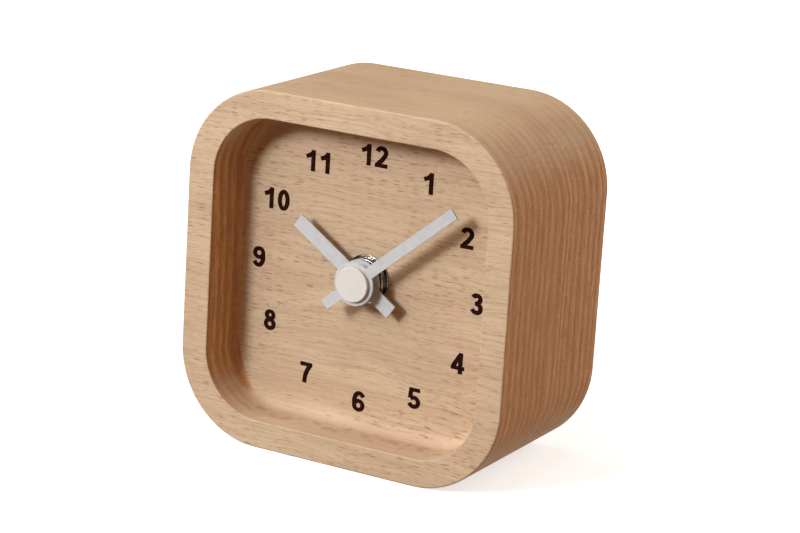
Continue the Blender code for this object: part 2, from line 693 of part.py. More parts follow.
def motion_work():
    """Cannon pinion and pipe, minute-work wheel, hour wheel and the setting pinion: 12 to 1."""
    pipe = place("minute_pipe", rod(MINUTE_PIPE_RADIUS, (MINUTE_PIPE_FRONT, MINUTE_PIPE_BACK)))
    add(pipe, place("leaves", pinion(CANNON_TEETH, CANNON_MODULE, CANNON_RIM)))
    bore = (MINUTE_PIPE_FRONT - PAST, MINUTE_PIPE_BACK + PAST)
    cut(pipe, place("bore", rod(SECOND_ARBOR_RADIUS + RUN, bore, SMALL_ROUND)))
    dress(pipe, BRASS)

    motion_angle = meshed(0.0, CANNON_TEETH, MOTION_DIRECTION, MOTION_TEETH)
    pivot = place("minute_work_wheel", turned([
        (PIVOT_RADIUS, HOUSING_INNER_FRONT - FLOOR_PIVOT), (PIVOT_RADIUS, MOTION_PINION_RIM[0]),
        (MOTION_ARBOR_RADIUS, MOTION_PINION_RIM[0]),
        (MOTION_ARBOR_RADIUS, MOTION_RIM[1] + SHOULDER),
        (PIVOT_RADIUS, MOTION_RIM[1] + SHOULDER), (PIVOT_RADIUS, MIDDLE_PLATE[1] - SHOULDER),
    ], SMALL_ROUND), MOTION_AXIS, motion_angle)
    rim_to_wheel = (MOTION_PINION_RIM[0] + PRESS, MOTION_RIM[0] + SHOULDER)
    add(pivot,
        place("leaves", pinion(MOTION_PINION_TEETH, HOUR_MODULE, rim_to_wheel),
              MOTION_AXIS, motion_angle),
        place("rim", wheel(MOTION_TEETH, CANNON_MODULE, MOTION_RIM), MOTION_AXIS, motion_angle))
    dress(pivot, GEAR_PLASTIC)

    hour_angle = meshed(motion_angle, MOTION_PINION_TEETH, MOTION_DIRECTION + 180.0, HOUR_TEETH)
    hour = place("hour_wheel", rod(HOUR_PIPE_RADIUS, (HOUR_PIPE_FRONT, HOUR_RIM[1] + SHOULDER)),
                 angle=hour_angle)
    add(hour, place("rim", wheel(HOUR_TEETH, HOUR_MODULE, HOUR_RIM), angle=hour_angle))
    bore = (HOUR_PIPE_FRONT - PAST, HOUR_RIM[1] + PAST)
    cut(hour, place("bore", rod(MINUTE_PIPE_RADIUS + RUN, bore), angle=hour_angle))
    dress(hour, GEAR_PLASTIC)

    setting_angle = meshed(motion_angle, MOTION_TEETH, SETTING_DIRECTION, SETTING_TEETH)
    shaft = place("setting_pinion", turned([
        (SETTING_PIVOT_RADIUS, HOUSING_INNER_FRONT - FLOOR_PIVOT),
        (SETTING_PIVOT_RADIUS, HOUSING_INNER_FRONT + SHOULDER),
        (SETTING_SHAFT_RADIUS, HOUSING_INNER_FRONT + SHOULDER),
        (SETTING_SHAFT_RADIUS, SETTING_SHAFT_BACK),
    ]), SETTING_AXIS, setting_angle)
    add(shaft, place("leaves", pinion(SETTING_TEETH, CANNON_MODULE, CANNON_RIM),
                     SETTING_AXIS, setting_angle))
    dress(shaft, GEAR_PLASTIC)

    ribs = [polar(KNOB_RADIUS - KNOB_RIB_DEPTH * (k % 2), 180.0 * k / KNOB_RIBS)
            for k in range(2 * KNOB_RIBS)]
    share = 1 - KNOB_EDGE / KNOB_RADIUS
    rim = [(x * share, z * share) for x, z in ribs]
    knob = place("setting_knob",
                 loft([(rim, KNOB[0]), (ribs, KNOB[0] + KNOB_EDGE), (ribs, KNOB[1] - KNOB_EDGE),
                       (rim, KNOB[1])]), SETTING_AXIS)
    socket = rod(SETTING_SHAFT_RADIUS + PRESS, (KNOB[0] - PAST, SETTING_SHAFT_BACK + RUN))
    cut(knob, place("socket", socket, SETTING_AXIS))
    dress(knob, BLACK_PLASTIC)


def going_train():
    """Centre, third, second and fifth wheels and the rotor's pinion, each meshed with the last."""
    centre = bored(gear(CENTRE_TEETH, TRAIN_MODULE, WHEEL_TOOTH), MINUTE_PIPE_RADIUS + PRESS,
                   CENTRE_RIM)
    dress(place("centre_wheel", centre), GEAR_PLASTIC)

    third_angle = meshed(0.0, CENTRE_TEETH, THIRD_DIRECTION, THIRD_PINION_TEETH)
    third = place("third_wheel", arbor(THIRD_ARBOR_RADIUS), THIRD_AXIS, third_angle)
    add(third,
        place("leaves", pinion(THIRD_PINION_TEETH, TRAIN_MODULE, THIRD_PINION_RIM),
              THIRD_AXIS, third_angle),
        place("rim", wheel(THIRD_TEETH, THIRD_MODULE, THIRD_RIM), THIRD_AXIS, third_angle))
    dress(third, GEAR_PLASTIC)

    second_angle = meshed(third_angle, THIRD_TEETH, THIRD_DIRECTION + 180.0, SECOND_PINION_TEETH)
    second = place("second_wheel", turned([
        (SECOND_ARBOR_RADIUS, SECOND_ARBOR_FRONT), (SECOND_ARBOR_RADIUS, ARBOR_BACK),
        (PIVOT_RADIUS, ARBOR_BACK), (PIVOT_RADIUS, PIVOT_BACK),
    ], SMALL_ROUND), angle=second_angle)
    add(second,
        place("leaves", pinion(SECOND_PINION_TEETH, THIRD_MODULE, SECOND_PINION_RIM),
              angle=second_angle),
        place("rim", wheel(SECOND_TEETH, SECOND_MODULE, SECOND_RIM), angle=second_angle))
    dress(second, GEAR_PLASTIC)

    fifth_angle = meshed(second_angle, SECOND_TEETH, FIFTH_DIRECTION, FIFTH_PINION_TEETH)
    fifth = place("fifth_wheel", arbor(ARBOR_RADIUS), FIFTH_AXIS, fifth_angle)
    add(fifth,
        place("leaves", pinion(FIFTH_PINION_TEETH, SECOND_MODULE, FIFTH_PINION_RIM),
              FIFTH_AXIS, fifth_angle),
        place("rim", wheel(FIFTH_TEETH, FIFTH_MODULE, FIFTH_RIM), FIFTH_AXIS, fifth_angle))
    dress(fifth, GEAR_PLASTIC)

    rotor_angle = meshed(fifth_angle, FIFTH_TEETH, ROTOR_DIRECTION, ROTOR_PINION_TEETH)
    rotor = place("rotor_pinion", arbor(ARBOR_RADIUS), ROTOR_AXIS, rotor_angle)
    add(rotor, place("leaves", pinion(ROTOR_PINION_TEETH, FIFTH_MODULE, ROTOR_PINION_RIM),
                     ROTOR_AXIS, rotor_angle))
    dress(rotor, STEEL)
    bore = ARBOR_RADIUS + PRESS
    magnet = [(MAGNET_RADIUS, MAGNET[0]), (MAGNET_RADIUS, MAGNET[1]), (bore, MAGNET[1]),
              (bore, MAGNET[0])]
    dress(place("rotor_magnet", turned_ring(magnet, SMALL_ROUND), ROTOR_AXIS, rotor_angle),
          MAGNET_GREY)


# --- Motor, electronics and battery -------------------------------------------------------------

def stator_outline():
    """A U of flat iron: a bar that swells round the rotor, and two legs up to the coil's core."""
    swell = math.degrees(math.acos(STATOR_BAR_HALF / STATOR_RING))
    turns = [-swell + 2 * swell * k / STATOR_STEPS for k in range(STATOR_STEPS + 1)]
    top = [polar(STATOR_RING, turn) for turn in turns]
    bottom = [polar(STATOR_RING, 180.0 + turn) for turn in turns]
    end, leg = STATOR_HALF_LENGTH, STATOR_HALF_LENGTH - STATOR_LEG
    rise = STATOR_TOP - ROTOR_AXIS[1]
    left = [(-end, -STATOR_BAR_HALF), (-end, rise), (-leg, rise), (-leg, STATOR_BAR_HALF)]
    right = [(leg, STATOR_BAR_HALF), (leg, rise), (end, rise), (end, -STATOR_BAR_HALF)]
    return left + top + right + bottom


def stepping_motor():
    stator = place("stator", prism(stator_outline(), STATOR), ROTOR_AXIS)
    hole = rod(STATOR_HOLE, (STATOR[0] - PAST, STATOR[1] + PAST))
    dress(cut(stator, place("rotor_hole", hole, ROTOR_AXIS)), STEEL)
    coil = (ROTOR_AXIS[0], COIL_HEIGHT)
    core = box((-STATOR_HALF_LENGTH, STATOR_HALF_LENGTH), (-CORE_HALF_HEIGHT, CORE_HALF_HEIGHT),
               (-CORE_HALF_THICKNESS, CORE_HALF_THICKNESS))
    dress(place("coil_core", core, coil, depth=COIL_DEPTH), STEEL)
    end = BOBBIN_HALF_LENGTH
    inner_end = end - BOBBIN_FLANGE
    spool = turned([
        (BOBBIN_FLANGE_RADIUS, -end), (BOBBIN_FLANGE_RADIUS, -inner_end),
        (BOBBIN_BARREL_RADIUS, -inner_end), (BOBBIN_BARREL_RADIUS, inner_end),
        (BOBBIN_FLANGE_RADIUS, inner_end), (BOBBIN_FLANGE_RADIUS, end),
    ])
    bobbin = place("coil_bobbin", spool, coil, turn_to_x=True, depth=COIL_DEPTH)
    height, thickness = CORE_HALF_HEIGHT + RUN, CORE_HALF_THICKNESS + RUN
    slot = box((-2 * end, 2 * end), (-height, height), (-thickness, thickness))
    dress(cut(bobbin, place("core_slot", slot, coil, depth=COIL_DEPTH)), GEAR_PLASTIC)
    wound = inner_end - RUN
    barrel = BOBBIN_BARREL_RADIUS + RUN
    winding = turned_ring([(WINDING_RADIUS, -wound), (WINDING_RADIUS, wound), (barrel, wound),
                           (barrel, -wound)])
    dress(place("coil_winding", winding, coil, turn_to_x=True, depth=COIL_DEPTH), COPPER)


def electronics():
    dress(place("circuit_board", box(BOARD_X, BOARD_Z, BOARD)), BOARD_BROWN)
    sections = []
    for inset, depth in ((CRYSTAL_EDGE, -CRYSTAL_RADIUS), (0.0, CRYSTAL_EDGE - CRYSTAL_RADIUS),
                         (0.0, CRYSTAL_RADIUS - CRYSTAL_EDGE), (CRYSTAL_EDGE, CRYSTAL_RADIUS)):
        outline = rounded_rectangle(CRYSTAL_RADIUS - inset, CRYSTAL_HALF_LENGTH - inset,
                                    CRYSTAL_CORNER, FEW_STEPS)
        sections.append((outline, depth))
    crystal_depth = BOARD[0] - CRYSTAL_RADIUS - RUN
    can = place("quartz_crystal", loft(sections), CRYSTAL_CENTRE, depth=crystal_depth)
    dress(can, STEEL)
    dome = []
    for step in range(CHIP_STEPS + 1):
        rise = math.pi / 2 * (CHIP_FLAT + (1 - CHIP_FLAT) * step / CHIP_STEPS)
        dome.append((CHIP_RADIUS * math.sin(rise), BOARD[0] - RUN - CHIP_HEIGHT * math.cos(rise)))
    dress(place("clock_chip", turned(dome, SMALL_ROUND), CHIP_CENTRE), BLACK_PLASTIC)


def battery_and_contacts():
    cell = turned([
        (BATTERY_BASE_RADIUS, BATTERY_MINUS_X - BATTERY_BASE),
        (BATTERY_BASE_RADIUS, BATTERY_MINUS_X),
        (BATTERY_RADIUS - BATTERY_EDGE, BATTERY_MINUS_X),
        (BATTERY_RADIUS, BATTERY_MINUS_X + BATTERY_EDGE),
        (BATTERY_RADIUS, BATTERY_PLUS_X - BATTERY_EDGE),
        (BATTERY_RADIUS - BATTERY_EDGE, BATTERY_PLUS_X),
        (BATTERY_NUB_RADIUS, BATTERY_PLUS_X),
        (BATTERY_NUB_RADIUS, BATTERY_PLUS_X + BATTERY_NUB),
    ], BATTERY_ROUND)
    dress(place("battery", cell, BATTERY_CENTRE, turn_to_x=True, depth=BATTERY_DEPTH),
          BATTERY_WRAP)

    middle = BATTERY_CENTRE[1]
    leaf = [(MINUS_LEAF_X, MINUS_LEAF_BOTTOM), (MINUS_LEAF_X, middle - MINUS_SPRING_HALF),
            (MINUS_LEAF_X + MINUS_SPRING_BULGE, middle),
            (MINUS_LEAF_X, middle + MINUS_SPRING_HALF), (MINUS_LEAF_X, LEAF_TOP)]
    minus = place("negative_contact", prism(band(leaf, STRIP), LEAF))
    lead = [(MINUS_LEAF_X, LEAF_TOP - LEAF_OVERLAP), (MINUS_LEAF_X, LEAD_HEIGHT),
            (MINUS_LEAD_X, LEAD_HEIGHT), (MINUS_LEAD_X, LEAD_END_HEIGHT)]
    dress(add(minus, place("lead", prism(band(lead, STRIP), LEAD))), NICKEL)
    plus_leaf = [(PLUS_LEAF_X, PLUS_LEAF_BOTTOM), (PLUS_LEAF_X, LEAF_TOP)]
    plus = place("positive_contact", prism(band(plus_leaf, STRIP), LEAF))
    lead = [(PLUS_LEAF_X, LEAF_TOP - LEAF_OVERLAP), (PLUS_LEAF_X, LEAD_END_HEIGHT)]
    dress(add(plus, place("lead", prism(band(lead, STRIP), LEAD))), NICKEL)


def main():
    clear_scene()
    wooden_case()
    dial_fastening()
    hands()
    movement_front_housing()
    movement_rear_cover()
    plates()
    motion_work()
    going_train()
    stepping_motor()
    electronics()
    battery_and_contacts()


main()
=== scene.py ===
"""The looks of the beech desk clock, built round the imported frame.

Metres, in the frame's own axes: the dial faces -Y and the clock stands on z = 0. Shapes that turn
about the clock's centre line are made as (x, z) outlines at depths behind the case's front face.
"""
import json
import math

import bmesh
import bpy
from mathutils import Matrix, Vector
from mathutils.geometry import delaunay_2d_cdt


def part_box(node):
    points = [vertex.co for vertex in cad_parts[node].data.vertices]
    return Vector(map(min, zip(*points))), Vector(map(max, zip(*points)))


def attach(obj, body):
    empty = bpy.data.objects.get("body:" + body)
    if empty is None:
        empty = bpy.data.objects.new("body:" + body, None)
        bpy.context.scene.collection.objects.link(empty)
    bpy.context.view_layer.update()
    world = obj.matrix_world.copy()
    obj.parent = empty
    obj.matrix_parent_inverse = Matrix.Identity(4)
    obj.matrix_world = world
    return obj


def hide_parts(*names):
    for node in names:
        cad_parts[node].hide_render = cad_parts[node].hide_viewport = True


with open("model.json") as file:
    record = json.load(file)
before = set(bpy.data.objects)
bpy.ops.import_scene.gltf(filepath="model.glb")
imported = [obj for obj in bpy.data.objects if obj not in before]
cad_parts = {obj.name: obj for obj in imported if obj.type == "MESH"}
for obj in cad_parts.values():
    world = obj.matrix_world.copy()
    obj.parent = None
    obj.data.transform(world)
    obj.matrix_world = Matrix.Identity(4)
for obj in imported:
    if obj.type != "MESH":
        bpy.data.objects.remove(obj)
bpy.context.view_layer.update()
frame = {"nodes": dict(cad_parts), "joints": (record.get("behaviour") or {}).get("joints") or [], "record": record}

MM = 0.001
CASE_LOW, CASE_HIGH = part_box("wooden_case")
FRONT_Y = CASE_LOW.y
SIDE = (CASE_HIGH.x - CASE_LOW.x) / MM
DEPTH = (CASE_HIGH.y - CASE_LOW.y) / MM
JOINTS = {joint["name"]: Vector(joint["pos_m"]) for joint in frame["joints"]}
CENTRE = JOINTS["minute_hand_turn"]


def depth_of(y):
    """Depth behind the front face, in millimetres."""
    return (y - FRONT_Y) / MM


# --- Sizes in millimetres -----------------------------------------------------------------------

CASE_CORNER = 24.0
CASE_EDGE = 0.45
RIM_WIDTH = 7.35
RECESS_SHIFT = 0.3
RECESS_CORNER = 16.6
RECESS_EDGE = 0.3
DIAL_DEPTH = 13.2
COVE_RADIUS = 3.6
DIAL_HOLE = 4.3
DIAL_BACK = 18.2
POCKET_SIDE = 66.0
POCKET_CORNER = 12.0
POCKET_FLOOR_RADIUS = 0.8
SHARP_HOLD = 0.15       # a ring this far from an edge keeps the flat beside it flat
CORNER_STEPS = 24
EDGE_STEPS = 4
COVE_STEPS = 12
WELD = 0.0005

# Hands: length from the shaft to the tip and to the end of the tail, and clock angle at rest
HOUR_HAND = (23.4, 11.6)
MINUTE_HAND = (36.2, 10.9)
HOUR_HAND_WIDTH = 4.0
MINUTE_HAND_WIDTH = 3.0
HOUR_ANGLE = 303.6
MINUTE_ANGLE = 49.8
HUB_RADIUS = 5.75
HUB_STEPS = 36
HAND_BEVEL = 0.07
BEVEL_SEGMENTS = 2
BEVEL_ANGLE = 35.0
BUSH_OVERLAP = 0.7      # a hand's hole, as a share of its bush's radius
CAP_EDGE = 0.22
CAP_CROWN = 0.012
CAP_BORE = 1.75
CAP_BORE_DEPTH = 0.6
RING_BORE = 4.1
WASHER_EDGE = 0.12
NUT_EDGE = 0.5
RING_STEPS = 144
KNURL_STEPS = 3
KNURL = 0.012           # how deep the nut's knurls go, as a share of its radius

# Numerals: strokes and advance are shares of their height, and the turn is in degrees
NUMERAL_RADII = (32.7, 32.85)
NUMERAL_HEIGHT = 5.62
NUMERAL_DEPTH = 0.22
NUMERAL_SHIFT = (-0.35, -0.45)
NUMERAL_TURN = 0.4
THREE_SHIFT = -0.35
NUMERAL_STROKE = 0.232
LEVEL_STROKE = 0.84
DIGIT_ADVANCE = 0.775

# Setting knob, rear cover and battery
KNOB_RIBS = 24
STEPS_A_RIB = 6
RIB_GROOVE = 0.25
KNOB_BOSS = 1.46
KNOB_DISH = 0.35
COVER_MARGIN = 2.1
BAY_WALL = 0.6
BORDER_RISE = 4.2       # the border's foot and the pole marks, above the battery bay
POLE_RISE = 2.0
POLE_INSET = 2.6
POLE_ARM = 1.1
PIN_MARK_INSET = (6.0, 5.5)
PIN_MARK_RADIUS = 1.5
ARROW_SWEEP = (35, 145)
MARK_CORNER = 2.2
MARK_RING = 7.5
MARK_WIDTH = 0.55
MARK_HEIGHT = 0.22
CREST_SHARE = 0.5
MARK_SINK = 0.06
CELL_NUB = 1.2
CELL_PLATE = 0.2
HOUSING_EDGE = 0.15

# Edges sharper than these angles stay sharp
CASE_SMOOTH = 30.0
HAND_SMOOTH = 32.0
TURNED_SMOOTH = 40.0
RELIEF_SMOOTH = 25.0

# --- Camera, lights and stage -------------------------------------------------------------------

CAMERA_TARGET = Vector((16.62, -26.3, 56.51)) * MM
CAMERA_DISTANCE = 675.6 * MM
CAMERA_YAW = 28.95
CAMERA_PITCH = 15.03
CAMERA_ROLL = 3.56
LENS = 122.0
SENSOR = 36.0

# Soft boxes: azimuth and elevation, width in metres, watts, colour, and whether metal mirrors them
LIGHT_DISTANCE = 1.1
SOFT_BOXES = {
    "key": (-20.5, 24.0, 0.25, 7.9, (1.0, 1.13, 1.24), True),
    "window": (-27.0, 27.0, 0.5, 1.9, (1.0, 1.04, 1.08), True),
    "wide_window": (-48.0, 31.0, 1.1, 4.6, (1.0, 1.0, 1.0), True),
    "side": (82.0, 10.0, 0.5, 2.05, (1.0, 0.93, 0.83), True),
    "fill": (138.0, 30.0, 0.8, 4.1, (1.0, 1.0, 0.96), True),
    "back": (168.0, 4.0, 0.8, 2.4, (1.0, 0.97, 0.93), False),
}
OVERHEAD_POWER = 1.04
OVERHEAD_COLOUR = (0.86, 1.0, 1.13)
OVERHEAD_SPREAD = 70.0
OVERHEAD_TILT = (13.0, -20.0, 0.0)
AMBIENT_COLOUR = (1.0, 0.48, 0.15)
AMBIENT_STRENGTH = 0.18
FLOOR_HALF = 4.0
FLOOR_GREY = 0.80
FLOOR_GLOW = 0.63
DOME_RADIUS = 3.9

# --- Beech: scene-linear colours, and depths behind the front face in millimetres -----------------

FACE_LIGHT = (0.590, 0.422, 0.268)
FACE_DARK = (0.525, 0.362, 0.228)
FACE_WARM = (0.575, 0.375, 0.247)
FACE_LINE = (0.400, 0.255, 0.150)
FLECK = (0.215, 0.098, 0.036)
STAIN = (0.290, 0.190, 0.080)
END_EARLY = (0.650, 0.372, 0.178)
END_LATE = (0.415, 0.188, 0.070)
END_FINE = (0.290, 0.112, 0.038)
YEAR_MM = 3.25
END_GRAIN_FROM = 0.75   # the share of a surface's normal along the fibres that shows end grain
# Where and how strongly the cove takes end grain sooner: partly grain, partly painted shade in the recess's corner
COVE_ONSET = (4.0, 8.0)
COVE_GRAIN_AND_SHADE_GAIN = 1.4
HEART_DEPTH = 17.0
STAIN_DEPTH = 7.4
STAIN_BELOW_CENTRE = 40.0


# --- Outlines -----------------------------------------------------------------------------------

def polar(radius, degrees):
    """(x, z) at a clock angle, clockwise from straight up."""
    angle = math.radians(degrees)
    return radius * math.sin(angle), radius * math.cos(angle)


def circle(radius, count=96):
    return [polar(radius, 360.0 * k / count) for k in range(count)]


def rounded_square(half, corner):
    points = []
    for quarter, (right, up) in enumerate([(1, 1), (1, -1), (-1, -1), (-1, 1)]):
        x, z = right * (half - corner), up * (half - corner)
        for step in range(CORNER_STEPS + 1):
            dx, dz = polar(corner, 90.0 * (quarter + step / CORNER_STEPS))
            points.append((x + dx, z + dz))
    return points


def arc(centre, radii, start, end, steps=14):
    """Points on an ellipse, with angles anticlockwise from the right."""
    points = []
    for step in range(steps + 1):
        angle = math.radians(start + (end - start) * step / steps)
        points.append((centre[0] + radii[0] * math.cos(angle),
                       centre[1] + radii[1] * math.sin(angle)))
    return points


def oval(centre, radii):
    """A closed loop of 24 points on an ellipse."""
    return arc(centre, radii, 0, 345, 23)


def sides_of(path, thickness, closed=False, level_share=1.0):
    """The two sides of a strip along a path, thinner by level_share where it runs level."""
    points = [Vector(point) for point in path]
    count = len(points)
    left, right = [], []
    for i, point in enumerate(points):
        has_before, has_after = closed or i > 0, closed or i + 1 < count
        before = (point - points[i - 1]).normalized() if has_before else None
        after = (points[(i + 1) % count] - point).normalized() if has_after else before
        before = before or after
        along = (before + after).normalized()
        across = Vector((-along.y, along.x))
        reach = thickness / 2 / max(0.4, across.dot(Vector((-after.y, after.x))))
        reach *= level_share + (1 - level_share) * abs(across.x)
        left.append(tuple(point + across * reach))
        right.append(tuple(point - across * reach))
    return left, right


# --- Meshes -------------------------------------------------------------------------------------

def new_object(name, mesh):
    data = bpy.data.meshes.new(name)
    mesh.to_mesh(data)
    mesh.free()
    thing = bpy.data.objects.new(name, data)
    bpy.context.scene.collection.objects.link(thing)
    return thing


def origin_of(point):
    """Where an axis along Y through this point meets the plane of the front face."""
    return Vector((point.x, FRONT_Y, point.z))


def about(point, name, mesh):
    """An object whose mesh was made round this point's axis, at depths behind the front face."""
    thing = new_object(name, mesh)
    thing.data.transform(Matrix.Translation(origin_of(point)))
    return thing


def loft(sections, closed=False, capped=True):
    """A mesh through outlines of equal length, each at its depth in millimetres."""
    mesh = bmesh.new()
    loops = []
    for outline, depth in sections:
        loops.append([mesh.verts.new((x * MM, depth * MM, z * MM)) for x, z in outline])
    pairs = list(zip(loops, loops[1:]))
    if closed:
        pairs.append((loops[-1], loops[0]))
    elif capped:
        mesh.faces.new(loops[0])
        mesh.faces.new(loops[-1])
    for first, second in pairs:
        for k in range(len(first)):
            mesh.faces.new([first[k - 1], first[k], second[k], second[k - 1]])
    bmesh.ops.recalc_face_normals(mesh, faces=mesh.faces)
    return mesh


def turned(profile, count=96, closed=False):
    """A shape of revolution through (radius, depth) pairs."""
    return loft([(circle(radius, count), depth) for radius, depth in profile], closed)


def smooth(thing, angle):
    """Smooth shading, with edges sharper than the angle kept sharp."""
    thing.data.shade_smooth()
    thing.data.set_sharp_from_angle(angle=math.radians(angle))
    modifier = thing.modifiers.new("Weighted normals", "WEIGHTED_NORMAL")
    modifier.keep_sharp = True


def bevel(thing, width):
    modifier = thing.modifiers.new("Bevel", "BEVEL")
    modifier.width = width * MM
    modifier.segments = BEVEL_SEGMENTS
    modifier.limit_method = "ANGLE"
    modifier.angle_limit = math.radians(BEVEL_ANGLE)


def paint(thing, *materials):
    if thing.data.materials:
        thing.data.materials.clear()
    for material in materials:
        thing.data.materials.append(material)


def settle(thing, body, slot, *nodes):
    """Rides on its body and stands for its CAD nodes. Its slot is not used."""
    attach(thing, body)
    if nodes:
        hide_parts(*nodes)


# --- Material graphs ----------------------------------------------------------------------------

class Graph:
    """A material with a Principled shader, and short calls for the nodes that feed it."""

    def __init__(self, name, roughness, metallic=0.0):
        self.material = bpy.data.materials.new(name)
        self.material.use_nodes = True
        self.tree = self.material.node_tree
        self.shader = self.tree.nodes["Principled BSDF"]
        self.fix("Roughness", roughness)
        self.fix("Metallic", metallic)
        self.place = self.node("ShaderNodeTexCoord").outputs["Object"]

    def fix(self, socket, value):
        """A number or colour that is the same all over the surface."""
        self.shader.inputs[socket].default_value = value

    def glow(self, strength):
        self.fix("Emission Color", (1.0, 1.0, 1.0, 1.0))
        self.fix("Emission Strength", strength)

    def node(self, kind, **settings):
        made = self.tree.nodes.new(kind)
        for key, value in settings.items():
            setattr(made, key, value)
        return made

    def feed(self, socket, value):
        if isinstance(value, bpy.types.NodeSocket):
            self.tree.links.new(value, socket)
        else:
            socket.default_value = value

    def math(self, operation, *values):
        made = self.node("ShaderNodeMath", operation=operation)
        for socket, value in zip(made.inputs, values):
            self.feed(socket, value)
        return made.outputs[0]

    def vector(self, operation, *values):
        made = self.node("ShaderNodeVectorMath", operation=operation)
        for socket, value in zip(made.inputs, values):
            self.feed(socket, value)
        return made.outputs[0]

    def axes(self, vector):
        made = self.node("ShaderNodeSeparateXYZ")
        self.feed(made.inputs[0], vector)
        return made.outputs[0], made.outputs[1], made.outputs[2]

    def join(self, x, y, z):
        made = self.node("ShaderNodeCombineXYZ")
        for socket, value in zip(made.inputs, (x, y, z)):
            self.feed(socket, value)
        return made.outputs[0]

    def cells(self, size_mm, vector=None):
        """Coordinates in which one unit is a cell of this size in millimetres along x, y and z."""
        scale = tuple(1.0 / (size * MM) for size in size_mm)
        return self.vector("MULTIPLY", vector or self.place, scale)

    def noise(self, vector, detail=2.0, roughness=0.5):
        made = self.node("ShaderNodeTexNoise")
        self.feed(made.inputs["Vector"], vector)
        made.inputs["Scale"].default_value = 1.0
        made.inputs["Detail"].default_value = detail
        made.inputs["Roughness"].default_value = roughness
        return made.outputs["Fac"]

    def voronoi(self, vector):
        """(distance to the cell's point, a random number of the cell)"""
        made = self.node("ShaderNodeTexVoronoi")
        self.feed(made.inputs["Vector"], vector)
        made.inputs["Scale"].default_value = 1.0
        return made.outputs["Distance"], self.axes(made.outputs["Color"])[0]

    def rise(self, value, low, high, to_low=0.0, to_high=1.0):
        """A smooth step between two values."""
        made = self.node("ShaderNodeMapRange", interpolation_type="SMOOTHSTEP")
        self.feed(made.inputs["Value"], value)
        for socket, number in (("From Min", low), ("From Max", high),
                               ("To Min", to_low), ("To Max", to_high)):
            made.inputs[socket].default_value = number
        return made.outputs["Result"]

    def mix(self, factor, first, second):
        made = self.node("ShaderNodeMix", data_type="RGBA")
        self.feed(made.inputs["Factor"], factor)
        for socket, value in ((made.inputs[6], first), (made.inputs[7], second)):
            self.feed(socket, (*value, 1.0) if isinstance(value, tuple) else value)
        return made.outputs[2]

    def bump(self, height, distance_mm, strength):
        made = self.node("ShaderNodeBump")
        made.inputs["Strength"].default_value = strength
        made.inputs["Distance"].default_value = distance_mm * MM
        self.feed(made.inputs["Height"], height)
        self.tree.links.new(made.outputs["Normal"], self.shader.inputs["Normal"])

    def colour(self, value):
        self.feed(self.shader.inputs["Base Color"],
                  (*value, 1.0) if isinstance(value, tuple) else value)

    def rough(self, value):
        self.feed(self.shader.inputs["Roughness"], value)


